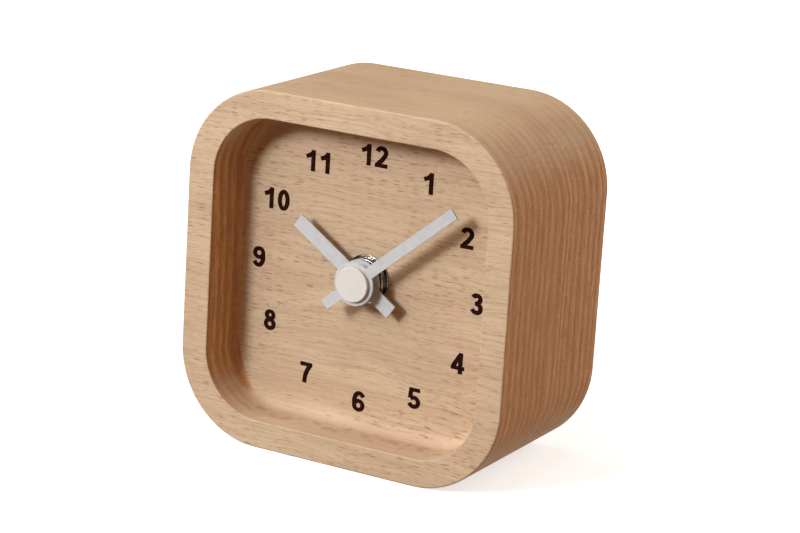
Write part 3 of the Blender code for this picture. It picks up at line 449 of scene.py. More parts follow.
def beech():
    """Solid beech: fibres along X, growth rings stacked along Y, rays cut across as flecks."""
    g = Graph("beech", roughness=0.55)
    g.fix("Specular IOR Level", 0.15)
    x, y, z = g.axes(g.place)
    normal = g.axes(g.node("ShaderNodeNewGeometry").outputs["Normal"])
    # The fibres are cut across where a surface turns to the left or right, and sooner in the
    # cove at the foot of the recess wall: there the darker end grain is partly the grain cut on
    # the slant and partly painted shade in the recess's corner
    across = g.math("ABSOLUTE", normal[0])
    turned_back = g.math("MULTIPLY", across, g.math("ABSOLUTE", normal[1]))
    cove = g.rise(y, FRONT_Y + COVE_ONSET[0] * MM, FRONT_Y + COVE_ONSET[1] * MM, 0.0, COVE_GRAIN_AND_SHADE_GAIN)
    end_grain_and_cove_shade = g.rise(g.math("ADD", across, g.math("MULTIPLY", turned_back, cove)),
                       END_GRAIN_FROM, 1.0)
    quarter_sawn = g.rise(g.math("ABSOLUTE", normal[2]), 0.3, 0.9)

    drift = g.noise(g.cells((38.0, 30.0, 22.0)), detail=1.0)
    ripple = g.noise(g.cells((9.0, 6.0, 5.0)), detail=1.0)
    wave = g.math("ADD", g.math("MULTIPLY", drift, 5.0 * MM), g.math("MULTIPLY", ripple, 0.9 * MM))
    wood = g.join(x, y, g.math("ADD", z, wave))

    # Ray flecks, in two sizes: short dark dashes on the face
    def flecks(size_mm, thin, thick, rare):
        distance, chance = g.voronoi(g.cells(size_mm, wood))
        dash = g.rise(distance, thin, thick, 1.0, 0.0)
        return g.math("MULTIPLY", dash, g.rise(chance, rare, 0.95))

    dash = flecks((4.2, 12.0, 0.60), 0.06, 0.40, 0.0)
    small_dash = flecks((2.6, 9.0, 0.36), 0.08, 0.40, 0.05)
    show = g.rise(quarter_sawn, 0.0, 1.0, 1.0, 0.24)

    fibre = g.noise(g.cells((8.0, 1.6, 0.30), wood), detail=3.0, roughness=0.6)
    line = g.noise(g.cells((22.0, 5.0, 0.55), wood), detail=2.0)
    tint = g.noise(g.cells((34.0, 12.0, 9.0), wood), detail=2.0)
    warm = g.noise(g.cells((26.0, 20.0, 14.0)), detail=2.0)

    face = g.mix(g.rise(tint, 0.35, 0.65), FACE_LIGHT, FACE_DARK)
    face = g.mix(g.rise(warm, 0.42, 0.68, 0.0, 0.55), face, FACE_WARM)
    streaks = g.math("ADD", g.rise(line, 0.47, 0.66, 0.0, 0.36),
                     g.rise(fibre, 0.44, 0.70, 0.0, 0.42))
    face = g.mix(g.math("MULTIPLY", streaks, show), face, FACE_LINE)
    strength = g.math("MULTIPLY", show, g.rise(drift, 0.40, 0.60, 0.50, 1.0))
    face = g.mix(g.math("MULTIPLY", g.math("MULTIPLY", dash, strength), 0.86), face, FLECK)
    face = g.mix(g.math("MULTIPLY", g.math("MULTIPLY", small_dash, strength), 0.66), face, FLECK)

    # Mineral stain along the floor of the recess
    low = g.math("ABSOLUTE", g.math("SUBTRACT", z, CENTRE.z - STAIN_BELOW_CENTRE * MM))
    deep = g.math("ABSOLUTE", g.math("SUBTRACT", y, FRONT_Y + STAIN_DEPTH * MM))
    where = g.math("MULTIPLY", g.rise(low, 0.8 * MM, 3.0 * MM, 1.0, 0.0),
                   g.rise(deep, 1.0 * MM, 4.2 * MM, 1.0, 0.0))
    spots = g.noise(g.cells((3.4, 2.4, 6.0), wood), detail=3.0, roughness=0.55)
    face = g.mix(g.math("MULTIPLY", where, g.rise(spots, 0.48, 0.66, 0.0, 0.50)), face, STAIN)

    # End grain: each year's growth darkens towards a thin line, then starts pale again
    wander = g.noise(g.cells((90.0, 9.0, 130.0)), detail=1.0)
    sway = g.noise(g.cells((60.0, 40.0, 40.0)), detail=1.0)
    years = g.math("ADD", y, g.math("MULTIPLY", wander, 6.0 * MM))
    years = g.math("ADD", years, g.math("MULTIPLY", sway, 1.4 * MM))
    waver = g.noise(g.cells((60.0, 2.5, 5.0)), detail=2.0)
    years = g.math("ADD", years, g.math("MULTIPLY", waver, 0.9 * MM))
    year = g.math("FRACT", g.math("DIVIDE", years, YEAR_MM * MM))
    late = g.math("MULTIPLY", g.rise(year, 0.0, 0.34), g.rise(year, 0.30, 1.0, 1.0, 0.0))
    fine = g.noise(g.cells((60.0, 0.55, 7.0)), detail=3.0, roughness=0.6)
    broad = g.noise(g.cells((80.0, 9.0, 60.0)), detail=2.0)
    end = g.mix(late, END_EARLY, END_LATE)
    end = g.mix(g.rise(broad, 0.40, 0.66, 0.0, 0.30), end, END_LATE)
    end = g.mix(g.rise(fine, 0.43, 0.62, 0.0, 0.58), end, END_FINE)
    pores = g.noise(g.cells((3.0, 0.30, 1.4)), detail=2.0)
    end = g.mix(g.rise(pores, 0.48, 0.70, 0.0, 0.42), end, END_FINE)
    rays = g.noise(g.cells((3.0, 2.2, 0.35)), detail=1.0)
    end = g.mix(g.rise(rays, 0.50, 0.74, 0.0, 0.30), end, END_EARLY)
    # The block is a little darker towards the tree's heart
    heart = g.math("ABSOLUTE", g.math("SUBTRACT", y, FRONT_Y + HEART_DEPTH * MM))
    end = g.mix(g.rise(heart, 3.0 * MM, 18.0 * MM, 0.24, 0.0), end, END_LATE)

    # The years' lines show faintly wherever the surface crosses them
    crossed = g.math("MULTIPLY", g.rise(g.math("ABSOLUTE", normal[1]), 0.25, 0.80, 1.0, 0.0),
                     g.rise(g.math("ABSOLUTE", normal[2]), 0.80, 1.0, 1.0, 0.40))
    lines = g.math("ADD", g.math("MULTIPLY", late, 0.24), g.rise(fine, 0.40, 0.68, 0.0, 0.18))
    face = g.mix(g.math("MULTIPLY", lines, crossed), face, END_LATE)
    # End grain where the mask says; in the cove this darker colour is partly painted shade
    g.colour(g.mix(end_grain_and_cove_shade, face, end))
    g.rough(g.rise(fibre, 0.2, 0.8, 0.54, 0.70))
    relief = g.math("SUBTRACT", g.math("MULTIPLY", fibre, 0.5), g.math("MULTIPLY", dash, 0.8))
    g.bump(relief, 0.04, 0.3)
    return g.material


def burnt_wood():
    """The scorched floor of the engraved numerals."""
    g = Graph("burnt_wood", roughness=0.8)
    g.fix("Specular IOR Level", 0.02)
    char = g.noise(g.cells((0.9, 0.5, 0.25)), detail=3.0)
    g.colour(g.mix(g.rise(char, 0.35, 0.7), (0.010, 0.002, 0.0015), (0.034, 0.009, 0.005)))
    g.bump(char, 0.05, 0.5)
    return g.material


def matt_paint(name, light, shade):
    """Sprayed matt paint: fine orange peel and a trace of unevenness."""
    g = Graph(name, roughness=0.5)
    g.fix("Specular IOR Level", 0.4)
    cloud = g.noise(g.cells((2.4, 2.4, 2.4)), detail=4.0, roughness=0.65)
    g.colour(g.mix(g.rise(cloud, 0.35, 0.7), light, shade))
    peel = g.noise(g.cells((0.16, 0.16, 0.16)), detail=2.0)
    g.rough(g.rise(peel, 0.3, 0.7, 0.44, 0.58))
    g.bump(peel, 0.006, 0.4)
    return g.material


def turned_metal(name, light, dark, roughness):
    """Metal turned on a lathe: rings round the clock's axis, and a little tarnish."""
    g = Graph(name, roughness=roughness, metallic=1.0)
    x, y, z = g.axes(g.vector("SUBTRACT", g.place, tuple(CENTRE)))
    radius = g.math("SQRT", g.math("ADD", g.math("MULTIPLY", x, x), g.math("MULTIPLY", z, z)))
    lines = g.noise(g.cells((0.09, 0.09, 900.0), g.join(radius, y, 0.0)), detail=3.0)
    tarnish = g.noise(g.cells((2.2, 2.2, 2.2)), detail=3.0)
    g.colour(g.mix(g.rise(tarnish, 0.4, 0.75), light, dark))
    g.rough(g.rise(lines, 0.3, 0.7, roughness * 0.8, roughness * 1.35))
    g.bump(lines, 0.004, 0.4)
    return g.material


def sheet_metal(name, light, dark, roughness):
    """Rolled or plated sheet: fine streaks one way and faint stains."""
    g = Graph(name, roughness=roughness, metallic=1.0)
    streaks = g.noise(g.cells((5.0, 0.12, 0.12)), detail=3.0)
    stains = g.noise(g.cells((3.0, 3.0, 3.0)), detail=4.0)
    g.colour(g.mix(g.rise(stains, 0.4, 0.75), light, dark))
    g.rough(g.rise(streaks, 0.3, 0.7, roughness * 0.85, roughness * 1.3))
    g.bump(streaks, 0.004, 0.4)
    return g.material


def moulded(name, light, dark, roughness, grain_mm=0.22, relief_mm=0.012):
    """Moulded plastic or rubber: spark-eroded texture, flow shading and dust-dulled patches."""
    g = Graph(name, roughness=roughness)
    grain = g.noise(g.cells((grain_mm, grain_mm, grain_mm)), detail=2.0)
    flow = g.noise(g.cells((14.0, 14.0, 14.0)), detail=3.0)
    g.colour(g.mix(g.rise(flow, 0.3, 0.7), light, dark))
    g.rough(g.rise(flow, 0.3, 0.7, roughness * 0.9, roughness * 1.15))
    g.bump(grain, relief_mm, 0.5)
    return g.material


def enamelled_wire():
    """Copper winding: fine turns laid side by side along X."""
    g = Graph("copper_wire", roughness=0.32, metallic=0.9)
    x = g.axes(g.place)[0]
    wander = g.math("MULTIPLY", g.noise(g.cells((2.0, 1.0, 1.0)), detail=2.0), 0.15 * MM)
    turns = g.math("SINE", g.math("MULTIPLY", g.math("ADD", x, wander), 2 * math.pi / (0.12 * MM)))
    height = g.rise(turns, -1.0, 0.6)
    g.colour(g.mix(height, (0.20, 0.06, 0.02), (0.62, 0.25, 0.11)))
    g.bump(height, 0.03, 0.8)
    return g.material


def phenolic_board():
    """Brown paper board with pale tracks."""
    g = Graph("phenolic_board", roughness=0.55)
    paper = g.noise(g.cells((0.6, 0.6, 0.25)), detail=4.0)
    base = g.mix(g.rise(paper, 0.3, 0.7), (0.26, 0.145, 0.055), (0.36, 0.21, 0.085))
    grid = g.noise(g.cells((3.2, 500.0, 3.2)), detail=0.0)
    track = g.rise(g.math("ABSOLUTE", g.math("SUBTRACT", grid, 0.5)), 0.015, 0.022, 1.0, 0.0)
    g.colour(g.mix(track, base, (0.50, 0.33, 0.16)))
    g.bump(g.math("ADD", paper, track), 0.02, 0.4)
    return g.material


def battery_wrap():
    """Plain two-colour shrink wrap: a gold band at the plus end of a dark body, no print."""
    low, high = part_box("battery")
    g = Graph("battery_wrap", roughness=0.3)
    g.fix("Coat Weight", 0.4)
    x = g.axes(g.place)[0]
    share = g.math("DIVIDE", g.math("SUBTRACT", x, low.x), high.x - low.x)
    scuffs = g.noise(g.cells((0.5, 6.0, 6.0)), detail=4.0)
    body = g.mix(g.rise(scuffs, 0.45, 0.8), (0.016, 0.055, 0.035), (0.035, 0.085, 0.06))
    g.colour(g.mix(g.rise(share, 0.745, 0.75), body, (0.46, 0.30, 0.10)))
    g.rough(g.rise(scuffs, 0.3, 0.8, 0.25, 0.42))
    g.bump(g.noise(g.cells((3.0, 1.2, 1.2)), detail=2.0), 0.02, 0.25)
    return g.material


# --- Numerals -----------------------------------------------------------------------------------

def digit_strokes(digit):
    """Centre lines of a digit of height 1 on the line z = 0: (path, closed) pairs."""
    edge = NUMERAL_STROKE * LEVEL_STROKE / 2
    top, bottom = 1.0 - edge, edge
    if digit == 0:
        return [(oval((0, 0.5), (0.212, 0.5 - edge)), True)]
    if digit == 1:
        return [([(0.115, 0.0), (0.115, 1.0)], False),
                ([(0.125, 0.93), (0.05, 0.83), (-0.07, 0.735), (-0.265, 0.665)], False)]
    if digit == 2:
        bowl = arc((0.0, 0.69), (0.225, top - 0.69), 170, -30)
        return [(bowl + [(0.03, 0.35), (-0.12, 0.22), (-0.205, 0.10)], False),
                ([(-0.335, bottom), (0.335, bottom)], False)]
    if digit == 3:
        return [(arc((-0.01, 0.73), (0.185, top - 0.73), 165, -88), False),
                (arc((0.0, 0.30), (0.215, 0.30 - bottom), 97, -165), False),
                ([(-0.10, 0.525), (0.06, 0.525)], False)]
    if digit == 4:
        return [([(0.125, 0.0), (0.125, 1.0)], False),
                ([(0.115, 0.92), (-0.25, 0.33)], False),
                ([(-0.36, 0.28), (0.34, 0.28)], False)]
    if digit == 5:
        return [([(0.30, top), (-0.18, top)], False),
                ([(-0.155, 0.99), (-0.205, 0.48)], False),
                (arc((0.0, 0.315), (0.235, 0.315 - bottom), 140, -165), False)]
    if digit == 6:
        return [(oval((0.01, 0.31), (0.225, 0.31 - bottom)), True),
                (arc((0.035, 0.5), (0.26, top - 0.5), 205, 35), False)]
    if digit == 7:
        return [([(-0.33, top), (0.33, top)], False),
                ([(0.25, 0.92), (0.08, 0.66), (-0.03, 0.38), (-0.075, 0.0)], False)]
    if digit == 8:
        return [(oval((0, 0.735), (0.185, top - 0.735)), True),
                (oval((0, 0.30), (0.215, 0.30 - bottom)), True)]
    return [([(-x, 1.0 - z) for x, z in path], closed) for path, closed in digit_strokes(6)]


def numeral_patches():
    """Quads that cover the strokes of the numerals on the dial. They may overlap."""
    patches = []
    for hour in range(1, 13):
        digits = [int(figure) for figure in str(hour)]
        right, up = polar(1.0, 30.0 * hour + NUMERAL_TURN)
        centre_x = NUMERAL_RADII[0] * right + NUMERAL_SHIFT[0]
        centre_z = NUMERAL_RADII[1] * up + NUMERAL_SHIFT[1]
        if hour == 3:
            centre_x += THREE_SHIFT
        for place, digit in enumerate(digits):
            shift = (place - (len(digits) - 1) / 2) * DIGIT_ADVANCE
            for path, closed in digit_strokes(digit):
                sides = sides_of(path, NUMERAL_STROKE, closed, LEVEL_STROKE)
                left, right = [[(centre_x + (x + shift) * NUMERAL_HEIGHT,
                                 centre_z + (z - 0.5) * NUMERAL_HEIGHT) for x, z in side]
                               for side in sides]
                for k in range(0 if closed else 1, len(left)):
                    patches.append([left[k - 1], right[k - 1], right[k], left[k]])
    return patches


def anticlockwise(outline):
    area = sum(a[0] * b[1] - b[0] * a[1] for a, b in zip(outline, outline[1:] + outline[:1]))
    return outline if area > 0 else outline[::-1]


def add_dial(mesh, rim, hole):
    """The flat of the dial between two outlines, with the numerals sunk into it."""
    hole_index, inside_only, merge_distance = 1, 1, 1e-4
    points, polygons = [], []
    for outline in [rim, hole] + numeral_patches():
        first = len(points)
        points += [Vector(point) for point in anticlockwise(outline)]
        polygons.append(list(range(first, len(points))))
    places, _, triangles, _, _, origins = delaunay_2d_cdt(points, [], polygons, inside_only,
                                                          merge_distance)
    made = {}

    def corner(index, sunk):
        if (index, sunk) not in made:
            depth = DIAL_DEPTH + (NUMERAL_DEPTH if sunk else 0.0)
            x, z = places[index]
            made[index, sunk] = mesh.verts.new((x * MM, depth * MM, z * MM))
        return made[index, sunk]

    sides = {}
    for triangle, sources in zip(triangles, origins):
        if hole_index in sources:
            continue
        sunk = max(sources) > hole_index
        face = mesh.faces.new([corner(index, sunk) for index in triangle])
        face.material_index = int(sunk)
        for k in range(3):
            sides.setdefault(frozenset((triangle[k - 1], triangle[k])), set()).add(sunk)
    for edge, levels in sides.items():
        if len(levels) == 2:
            a, b = edge
            wall = mesh.faces.new([corner(a, False), corner(b, False),
                                   corner(b, True), corner(a, True)])
            wall.material_index = 1


# --- The case -----------------------------------------------------------------------------------

def wooden_case(wood, burnt):
    """One closed skin: hole, pocket, back, sides, front, recess and cove, then the dial."""
    half = SIDE / 2
    recess = half - RIM_WIDTH
    pocket = POCKET_SIDE / 2
    rings = []

    def ring(offset, depth, base=half, corner=CASE_CORNER):
        shift = RECESS_SHIFT if base == recess else 0.0
        outline = rounded_square(base - offset, corner - offset)
        rings.append(([(x + shift, z) for x, z in outline], depth))

    def edge(base, corner, radius, depth, inward, start, end):
        """A quarter round: inward is 1 where it eats into the outline, -1 where it widens it."""
        for step in range(EDGE_STEPS + 1):
            turn = math.radians(start + (end - start) * step / EDGE_STEPS)
            ring(inward * radius * (1 - math.cos(turn)),
                 depth + radius * math.sin(turn), base, corner)

    hold = SHARP_HOLD
    ring(0.0, DIAL_DEPTH, DIAL_HOLE, DIAL_HOLE)
    ring(0.0, DIAL_BACK, DIAL_HOLE, DIAL_HOLE)
    ring(POCKET_FLOOR_RADIUS, DIAL_BACK, pocket, POCKET_CORNER)
    edge(pocket, POCKET_CORNER, POCKET_FLOOR_RADIUS, DIAL_BACK + POCKET_FLOOR_RADIUS, 1, -90, 0)
    edge(pocket, POCKET_CORNER, RECESS_EDGE, DEPTH - RECESS_EDGE, -1, 0, 90)
    ring(-RECESS_EDGE - hold, DEPTH, pocket, POCKET_CORNER)
    ring(CASE_EDGE + hold, DEPTH)
    edge(half, CASE_CORNER, CASE_EDGE, DEPTH - CASE_EDGE, 1, 90, 0)
    ring(0.0, DEPTH - CASE_EDGE - hold)
    ring(0.0, CASE_EDGE + hold)
    edge(half, CASE_CORNER, CASE_EDGE, CASE_EDGE, 1, 0, -90)
    ring(CASE_EDGE + hold, 0.0)
    ring(-RECESS_EDGE - hold, 0.0, recess, RECESS_CORNER)
    edge(recess, RECESS_CORNER, RECESS_EDGE, RECESS_EDGE, -1, -90, 0)
    ring(0.0, RECESS_EDGE + hold, recess, RECESS_CORNER)
    for step in range(COVE_STEPS + 1):
        turn = math.pi / 2 * step / COVE_STEPS
        ring(COVE_RADIUS * (1 - math.cos(turn)), DIAL_DEPTH - COVE_RADIUS * (1 - math.sin(turn)),
             recess, RECESS_CORNER)
    ring(COVE_RADIUS + hold, DIAL_DEPTH, recess, RECESS_CORNER)
    mesh = loft(rings, capped=False)
    add_dial(mesh, rings[-1][0], rings[0][0])
    bmesh.ops.remove_doubles(mesh, verts=mesh.verts, dist=WELD * MM)
    bmesh.ops.recalc_face_normals(mesh, faces=mesh.faces)
    case = about(CENTRE, "beech_case", mesh)
    paint(case, wood, burnt)
    smooth(case, CASE_SMOOTH)
    settle(case, "case", "beech", "wooden_case")


# --- Hands and fastening ------------------------------------------------------------------------

def hand_outline(length, tail, width):
    half = width / 2
    join = math.degrees(math.asin(half / HUB_RADIUS))
    right = [polar(HUB_RADIUS, join + (180.0 - 2 * join) * k / HUB_STEPS)
             for k in range(HUB_STEPS + 1)]
    left = [(-x, z) for x, z in reversed(right)]
    return [(half, length)] + right + [(half, -tail), (-half, -tail)] + left + [(-half, length)]


def hand(name, node, body, lengths, width, angle, paint_material):
    """A flat bar stamped from sheet, with its edges just broken."""
    low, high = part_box(node)
    outline = hand_outline(lengths[0], lengths[1], width)
    hole_radius = (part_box(node + "_bush")[1].x - CENTRE.x) / MM * BUSH_OVERLAP
    hole = []
    for x, z in outline:
        scale = hole_radius / math.hypot(x, z)
        hole.append((x * scale, z * scale))
    front, back = depth_of(low.y), depth_of(high.y)
    shape = loft([(outline, front), (outline, back), (hole, back), (hole, front)], closed=True)
    thing = new_object(name, shape)
    turn = Matrix.Rotation(math.radians(angle), 4, "Y")
    thing.data.transform(Matrix.Translation(origin_of(CENTRE)) @ turn)
    bevel(thing, HAND_BEVEL)
    smooth(thing, HAND_SMOOTH)
    paint(thing, paint_material)
    settle(thing, body, "hand_paint", node)


def hand_cap(paint_material):
    """The round cap: a face with the slightest crown, a rounded edge and a bore at the back."""
    low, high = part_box("hand_cap")
    radius = (high.x - low.x) / 2 / MM
    front, back = depth_of(low.y), depth_of(high.y)
    edge, crown = CAP_EDGE, CAP_CROWN
    profile = [(0.02, front), (radius * 0.6, front + crown / 3),
               (radius - edge - 0.1, front + crown)]
    profile += [(radius - edge + edge * math.sin(turn), front + crown + edge * (1 - math.cos(turn)))
                for turn in (math.pi / 12 * k for k in range(7))]
    profile += [(radius, back - 0.05), (radius - 0.05, back),
                (CAP_BORE, back), (CAP_BORE, back - CAP_BORE_DEPTH)]
    cap = about(CENTRE, "cap_face", turned(profile))
    smooth(cap, TURNED_SMOOTH)
    paint(cap, paint_material)
    settle(cap, "minute_hand", "cap_paint", "hand_cap")


def ring_piece(name, node, material, edge, knurled=False):
    """A fine version of a turned ring in the CAD: rounded outer edges, and knurls if asked."""
    low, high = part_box(node)
    outer = (high.x - low.x) / 2 / MM
    front, back = depth_of(low.y), depth_of(high.y)
    profile = [(RING_BORE, back), (RING_BORE, front + edge / 2), (RING_BORE + edge / 2, front)]
    profile += [(outer - edge + edge * math.sin(turn), front + edge * (1 - math.cos(turn)))
                for turn in (math.pi / 10 * k for k in range(6))]
    profile += [(outer, back - edge / 3), (outer - edge / 3, back)]
    sections = []
    for radius, depth in profile:
        outline = circle(radius, RING_STEPS)
        if knurled and radius > outer - edge * 0.6:
            shares = [1 - KNURL * (k % KNURL_STEPS == 0) for k in range(RING_STEPS)]
            outline = [(x * share, z * share) for (x, z), share in zip(outline, shares)]
        sections.append((outline, depth))
    thing = about(CENTRE, name, loft(sections, closed=True))
    smooth(thing, TURNED_SMOOTH)
    paint(thing, material)
    settle(thing, "case", "nickel", node)


# --- The movement's outside ---------------------------------------------------------------------

def setting_knob(material):
    """The time-setting knob: ribbed round its edge, with a dished end."""
    low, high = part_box("setting_knob")
    radius = (high.x - low.x) / 2 / MM
    front, back = depth_of(low.y), depth_of(high.y)
    count = KNOB_RIBS * STEPS_A_RIB

    def ribbed(size, share):
        """A circle with grooves between its ribs, cut to a share of their full depth."""
        points = []
        for k in range(count):
            wave = 0.5 - 0.5 * math.cos(2 * math.pi * k / STEPS_A_RIB)
            groove = RIB_GROOVE * share * wave
            points.append(polar(size - groove, 360.0 * k / count))
        return points

    # Radius, how much of the grooves shows, and depth
    profile = [(KNOB_BOSS, 0.0, front), (radius - 0.5, 0.0, front),
               (radius - 0.12, 0.6, front + 0.15), (radius, 1.0, front + 0.4),
               (radius, 1.0, back - 0.5), (radius - 0.15, 0.7, back - 0.18),
               (radius - 0.55, 0.0, back), (radius - 1.4, 0.0, back),
               (radius - 1.6, 0.0, back - KNOB_DISH), (0.6, 0.0, back - KNOB_DISH)]
    grip = loft([(ribbed(size, share), depth) for size, share, depth in profile])
    knob = about(JOINTS["setting_knob_turn"], "setting_knob_grip", grip)
    smooth(knob, TURNED_SMOOTH)
    paint(knob, material)
    settle(knob, "setting_knob", "housing_plastic", "setting_knob")


def moulded_ribs(paths, face_y):
    """Raised lines on a face at this y in millimetres, along (path, closed) pairs."""
    foot, crest = face_y - MARK_SINK, face_y + MARK_HEIGHT
    mesh = bmesh.new()
    for path, closed in paths:
        left, right = sides_of(path, MARK_WIDTH, closed)
        crest_left, crest_right = sides_of(path, MARK_WIDTH * CREST_SHARE, closed)
        rows = []
        for k in range(len(path)):
            corners = ((left[k], foot), (crest_left[k], crest),
                       (crest_right[k], crest), (right[k], foot))
            rows.append([mesh.verts.new((x * MM, y * MM, z * MM)) for (x, z), y in corners])
        pairs = list(zip(rows, rows[1:]))
        if closed:
            pairs.append((rows[-1], rows[0]))
        else:
            mesh.faces.new(rows[0])
            mesh.faces.new(rows[-1])
        for first, second in pairs:
            for k in range(4):
                mesh.faces.new([first[k - 1], first[k], second[k], second[k - 1]])
    bmesh.ops.recalc_face_normals(mesh, faces=mesh.faces)
    return mesh


def cover_relief(material):
    """What is moulded on the rear cover: a border, an arrow, the poles and two pin marks."""
    low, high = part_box("movement_rear_cover")
    middle = (low.x + high.x) / 2 / MM
    reach = (high.x - low.x) / 2 / MM - COVER_MARGIN
    top = high.z / MM - COVER_MARGIN
    bay_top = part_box("battery")[1].z / MM + BAY_WALL
    foot = bay_top + BORDER_RISE
    corner = MARK_CORNER
    border = []
    for x, z, start in ((middle + reach - corner, top - corner, 0),
                        (middle - reach + corner, top - corner, 90),
                        (middle - reach + corner, foot + corner, 180),
                        (middle + reach - corner, foot + corner, 270)):
        border += arc((x, z), (corner, corner), start, start + 90, 6)
    knob = JOINTS["setting_knob_turn"] / MM
    sweep = arc((knob.x, knob.z), (MARK_RING, MARK_RING), *ARROW_SWEEP, 24)
    tip = sweep[-1]
    barbs = [(tip[0] + 0.2, tip[1] + 2.1), tip, (tip[0] + 2.1, tip[1] + 0.7)]
    paths = [(border, True), (sweep, False), (barbs, False)]
    for side in (-1, 1):
        x, z = middle + side * (reach - POLE_INSET), bay_top + POLE_RISE
        paths.append(([(x - POLE_ARM, z), (x + POLE_ARM, z)], False))
        if side > 0:
            paths.append(([(x, z - POLE_ARM), (x, z + POLE_ARM)], False))
        pin = (middle + side * (reach - PIN_MARK_INSET[0]), top - PIN_MARK_INSET[1])
        paths.append((oval(pin, (PIN_MARK_RADIUS, PIN_MARK_RADIUS)), True))
    relief = new_object("cover_relief", moulded_ribs(paths, high.y / MM))
    smooth(relief, RELIEF_SMOOTH)
    paint(relief, material)
    settle(relief, "case", "housing_plastic")


def battery(wrap, plated):
    """An AA cell lying along X: a wrapped sleeve round a plated can with its nub."""
    low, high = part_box("battery")
    centre = (low + high) / 2
    radius = (high.z - low.z) / 2 / MM
    length = (high.x - low.x) / MM
    body = length - CELL_NUB - CELL_PLATE
    start = -length / 2 + CELL_PLATE
    sleeve = [(radius - 1.3, start + 0.05), (radius - 0.35, start), (radius - 0.05, start + 0.3),
              (radius, start + 0.8), (radius, start + body - 0.8),
              (radius - 0.05, start + body - 0.3), (radius - 0.35, start + body),
              (radius - 1.3, start + body - 0.05), (radius - 1.4, start + body - 0.4),
              (radius - 1.4, start + 0.4)]
    cup = [(0.05, -length / 2), (4.2, -length / 2), (4.5, start), (5.6, start + 0.12),
           (5.65, start + 1.0), (5.65, start + body - 1.0), (5.6, start + body - 0.15),
           (3.2, start + body - 0.15), (2.75, start + body + 0.1),
           (2.7, length / 2 - 0.25), (2.45, length / 2), (0.05, length / 2)]
    turn = Matrix.Translation(centre) @ Matrix.Rotation(math.radians(-90.0), 4, "Z")
    for name, shape, material, slot, nodes in (
            ("battery_sleeve", turned(sleeve, 96, closed=True), wrap, "battery_wrap", ["battery"]),
            ("battery_can", turned(cup, 72), plated, "nickel", [])):
        thing = new_object(name, shape)
        thing.data.transform(turn)
        smooth(thing, TURNED_SMOOTH)
        paint(thing, material)
        settle(thing, "case", slot, *nodes)


def dress_frame(materials):
    """The CAD nodes that stay: their materials, and broken edges on the housing."""
    slots = {entry["node"]: entry["material_slot"] for entry in frame["record"]["subparts"]}
    for name, thing in frame["nodes"].items():
        if thing.hide_render:
            continue
        paint(thing, materials[slots[name]])
        if name in ("movement_front_housing", "movement_rear_cover"):
            bevel(thing, HOUSING_EDGE)


# --- Stage --------------------------------------------------------------------------------------

def camera():
    data = bpy.data.cameras.new("camera")
    data.lens = LENS
    data.sensor_width = SENSOR
    thing = bpy.data.objects.new("camera", data)
    yaw, pitch, roll = (math.radians(a) for a in (CAMERA_YAW, CAMERA_PITCH, CAMERA_ROLL))
    back = Vector((math.sin(yaw) * math.cos(pitch), -math.cos(yaw) * math.cos(pitch),
                   math.sin(pitch)))
    right = (-back).cross(Vector((0, 0, 1))).normalized()
    up = right.cross(-back)
    across = math.cos(roll) * right + math.sin(roll) * up
    upward = math.cos(roll) * up - math.sin(roll) * right
    place = CAMERA_TARGET + back * CAMERA_DISTANCE
    thing.matrix_world = Matrix((
        (across.x, upward.x, back.x, place.x),
        (across.y, upward.y, back.y, place.y),
        (across.z, upward.z, back.z, place.z),
        (0.0, 0.0, 0.0, 1.0),
    ))
    bpy.context.scene.collection.objects.link(thing)
    bpy.context.scene.camera = thing


def soft_box(name, azimuth, elevation, size, power, colour, mirrored):
    """A lit disc aimed at the clock. Azimuth 0 is in front of the dial, positive to the right."""
    data = bpy.data.lights.new(name, "AREA")
    data.shape = "DISK"
    data.size = size
    data.energy = power
    data.color = colour
    thing = bpy.data.objects.new(name, data)
    a, e = math.radians(azimuth), math.radians(elevation)
    away = Vector((math.sin(a) * math.cos(e), -math.cos(a) * math.cos(e), math.sin(e)))
    thing.location = CENTRE + away * LIGHT_DISTANCE
    thing.rotation_euler = away.to_track_quat("Z", "Y").to_euler()
    thing.visible_glossy = mirrored
    bpy.context.scene.collection.objects.link(thing)


def lights():
    for name, settings in SOFT_BOXES.items():
        soft_box(name, *settings)
    data = bpy.data.lights.new("overhead", "SUN")
    data.energy = OVERHEAD_POWER
    data.color = OVERHEAD_COLOUR
    data.angle = math.radians(OVERHEAD_SPREAD)
    overhead = bpy.data.objects.new("overhead", data)
    overhead.rotation_euler = [math.radians(turn) for turn in OVERHEAD_TILT]
    bpy.context.scene.collection.objects.link(overhead)
    world = bpy.data.worlds.new("studio")
    bpy.context.scene.world = world
    world.use_nodes = True
    background = world.node_tree.nodes["Background"]
    background.inputs["Color"].default_value = (*AMBIENT_COLOUR, 1.0)
    background.inputs["Strength"].default_value = AMBIENT_STRENGTH


def floor():
    """Plain and pale, with a glow of its own so that it stays nearly white far from the clock."""
    mesh = bmesh.new()
    bmesh.ops.create_grid(mesh, x_segments=1, y_segments=1, size=FLOOR_HALF)
    thing = new_object("floor", mesh)
    g = Graph("floor", roughness=0.7)
    g.colour((FLOOR_GREY, FLOOR_GREY, FLOOR_GREY))
    g.glow(FLOOR_GLOW)
    paint(thing, g.material)
    thing.visible_diffuse = False


def backdrop():
    """A white dome far round the clock, which is seen but neither lights nor shades it."""
    mesh = bmesh.new()
    bmesh.ops.create_uvsphere(mesh, u_segments=48, v_segments=24, radius=DOME_RADIUS)
    thing = new_object("backdrop", mesh)
    g = Graph("backdrop", roughness=1.0)
    g.fix("Specular IOR Level", 0.0)
    g.colour((0.0, 0.0, 0.0))
    g.glow(1.0)
    paint(thing, g.material)
    thing.visible_diffuse = False
    thing.visible_glossy = False
    thing.visible_transmission = False
    thing.visible_shadow = False


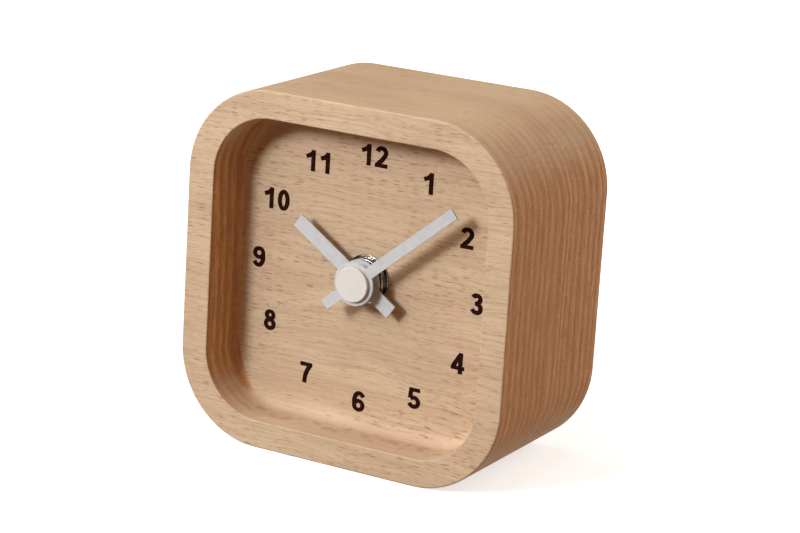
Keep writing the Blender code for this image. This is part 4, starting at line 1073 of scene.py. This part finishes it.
def main():
    scene = bpy.context.scene
    scene.view_settings.view_transform = "Standard"
    camera()
    floor()
    backdrop()
    lights()
    hand_white = matt_paint("hand_paint", (0.51, 0.49, 0.475), (0.455, 0.44, 0.43))
    cap_white = matt_paint("cap_paint", (0.64, 0.58, 0.522), (0.61, 0.555, 0.498))
    nickel = turned_metal("nickel", (0.24, 0.225, 0.205), (0.11, 0.10, 0.095), 0.15)
    plated = sheet_metal("plated_steel", (0.62, 0.61, 0.59), (0.50, 0.49, 0.47), 0.28)
    black = moulded("housing_plastic", (0.016, 0.016, 0.017), (0.026, 0.026, 0.027), 0.46)
    wood, burnt = beech(), burnt_wood()
    wrap = battery_wrap()

    wooden_case(wood, burnt)
    hand("hour_hand_blade", "hour_hand", "hour_hand", HOUR_HAND, HOUR_HAND_WIDTH, HOUR_ANGLE,
         hand_white)
    hand("minute_hand_blade", "minute_hand", "minute_hand", MINUTE_HAND, MINUTE_HAND_WIDTH,
         MINUTE_ANGLE, hand_white)
    hand_cap(cap_white)
    ring_piece("washer_ring", "dial_washer", nickel, WASHER_EDGE)
    ring_piece("nut_ring", "dial_nut", nickel, NUT_EDGE, knurled=True)
    setting_knob(black)
    cover_relief(black)
    battery(wrap, plated)
    dress_frame({
        "beech": wood,
        "hand_paint": hand_white,
        "cap_paint": cap_white,
        "nickel": plated,
        "brass": turned_metal("brass", (0.66, 0.47, 0.20), (0.50, 0.33, 0.13), 0.3),
        "steel": sheet_metal("steel", (0.40, 0.40, 0.41), (0.30, 0.295, 0.29), 0.36),
        "magnet": moulded("magnet", (0.06, 0.06, 0.065), (0.09, 0.09, 0.09), 0.5, 0.1, 0.02),
        "copper": enamelled_wire(),
        "gasket_rubber": moulded("gasket_rubber", (0.012, 0.012, 0.012), (0.02, 0.02, 0.02), 0.8,
                                 0.4, 0.03),
        "housing_plastic": black,
        "gear_plastic": moulded("gear_plastic", (0.74, 0.71, 0.63), (0.68, 0.65, 0.57), 0.42),
        "board": phenolic_board(),
        "chip_resin": moulded("chip_resin", (0.010, 0.010, 0.011), (0.018, 0.018, 0.018), 0.22,
                              1.2, 0.05),
        "battery_wrap": wrap,
    })


main()
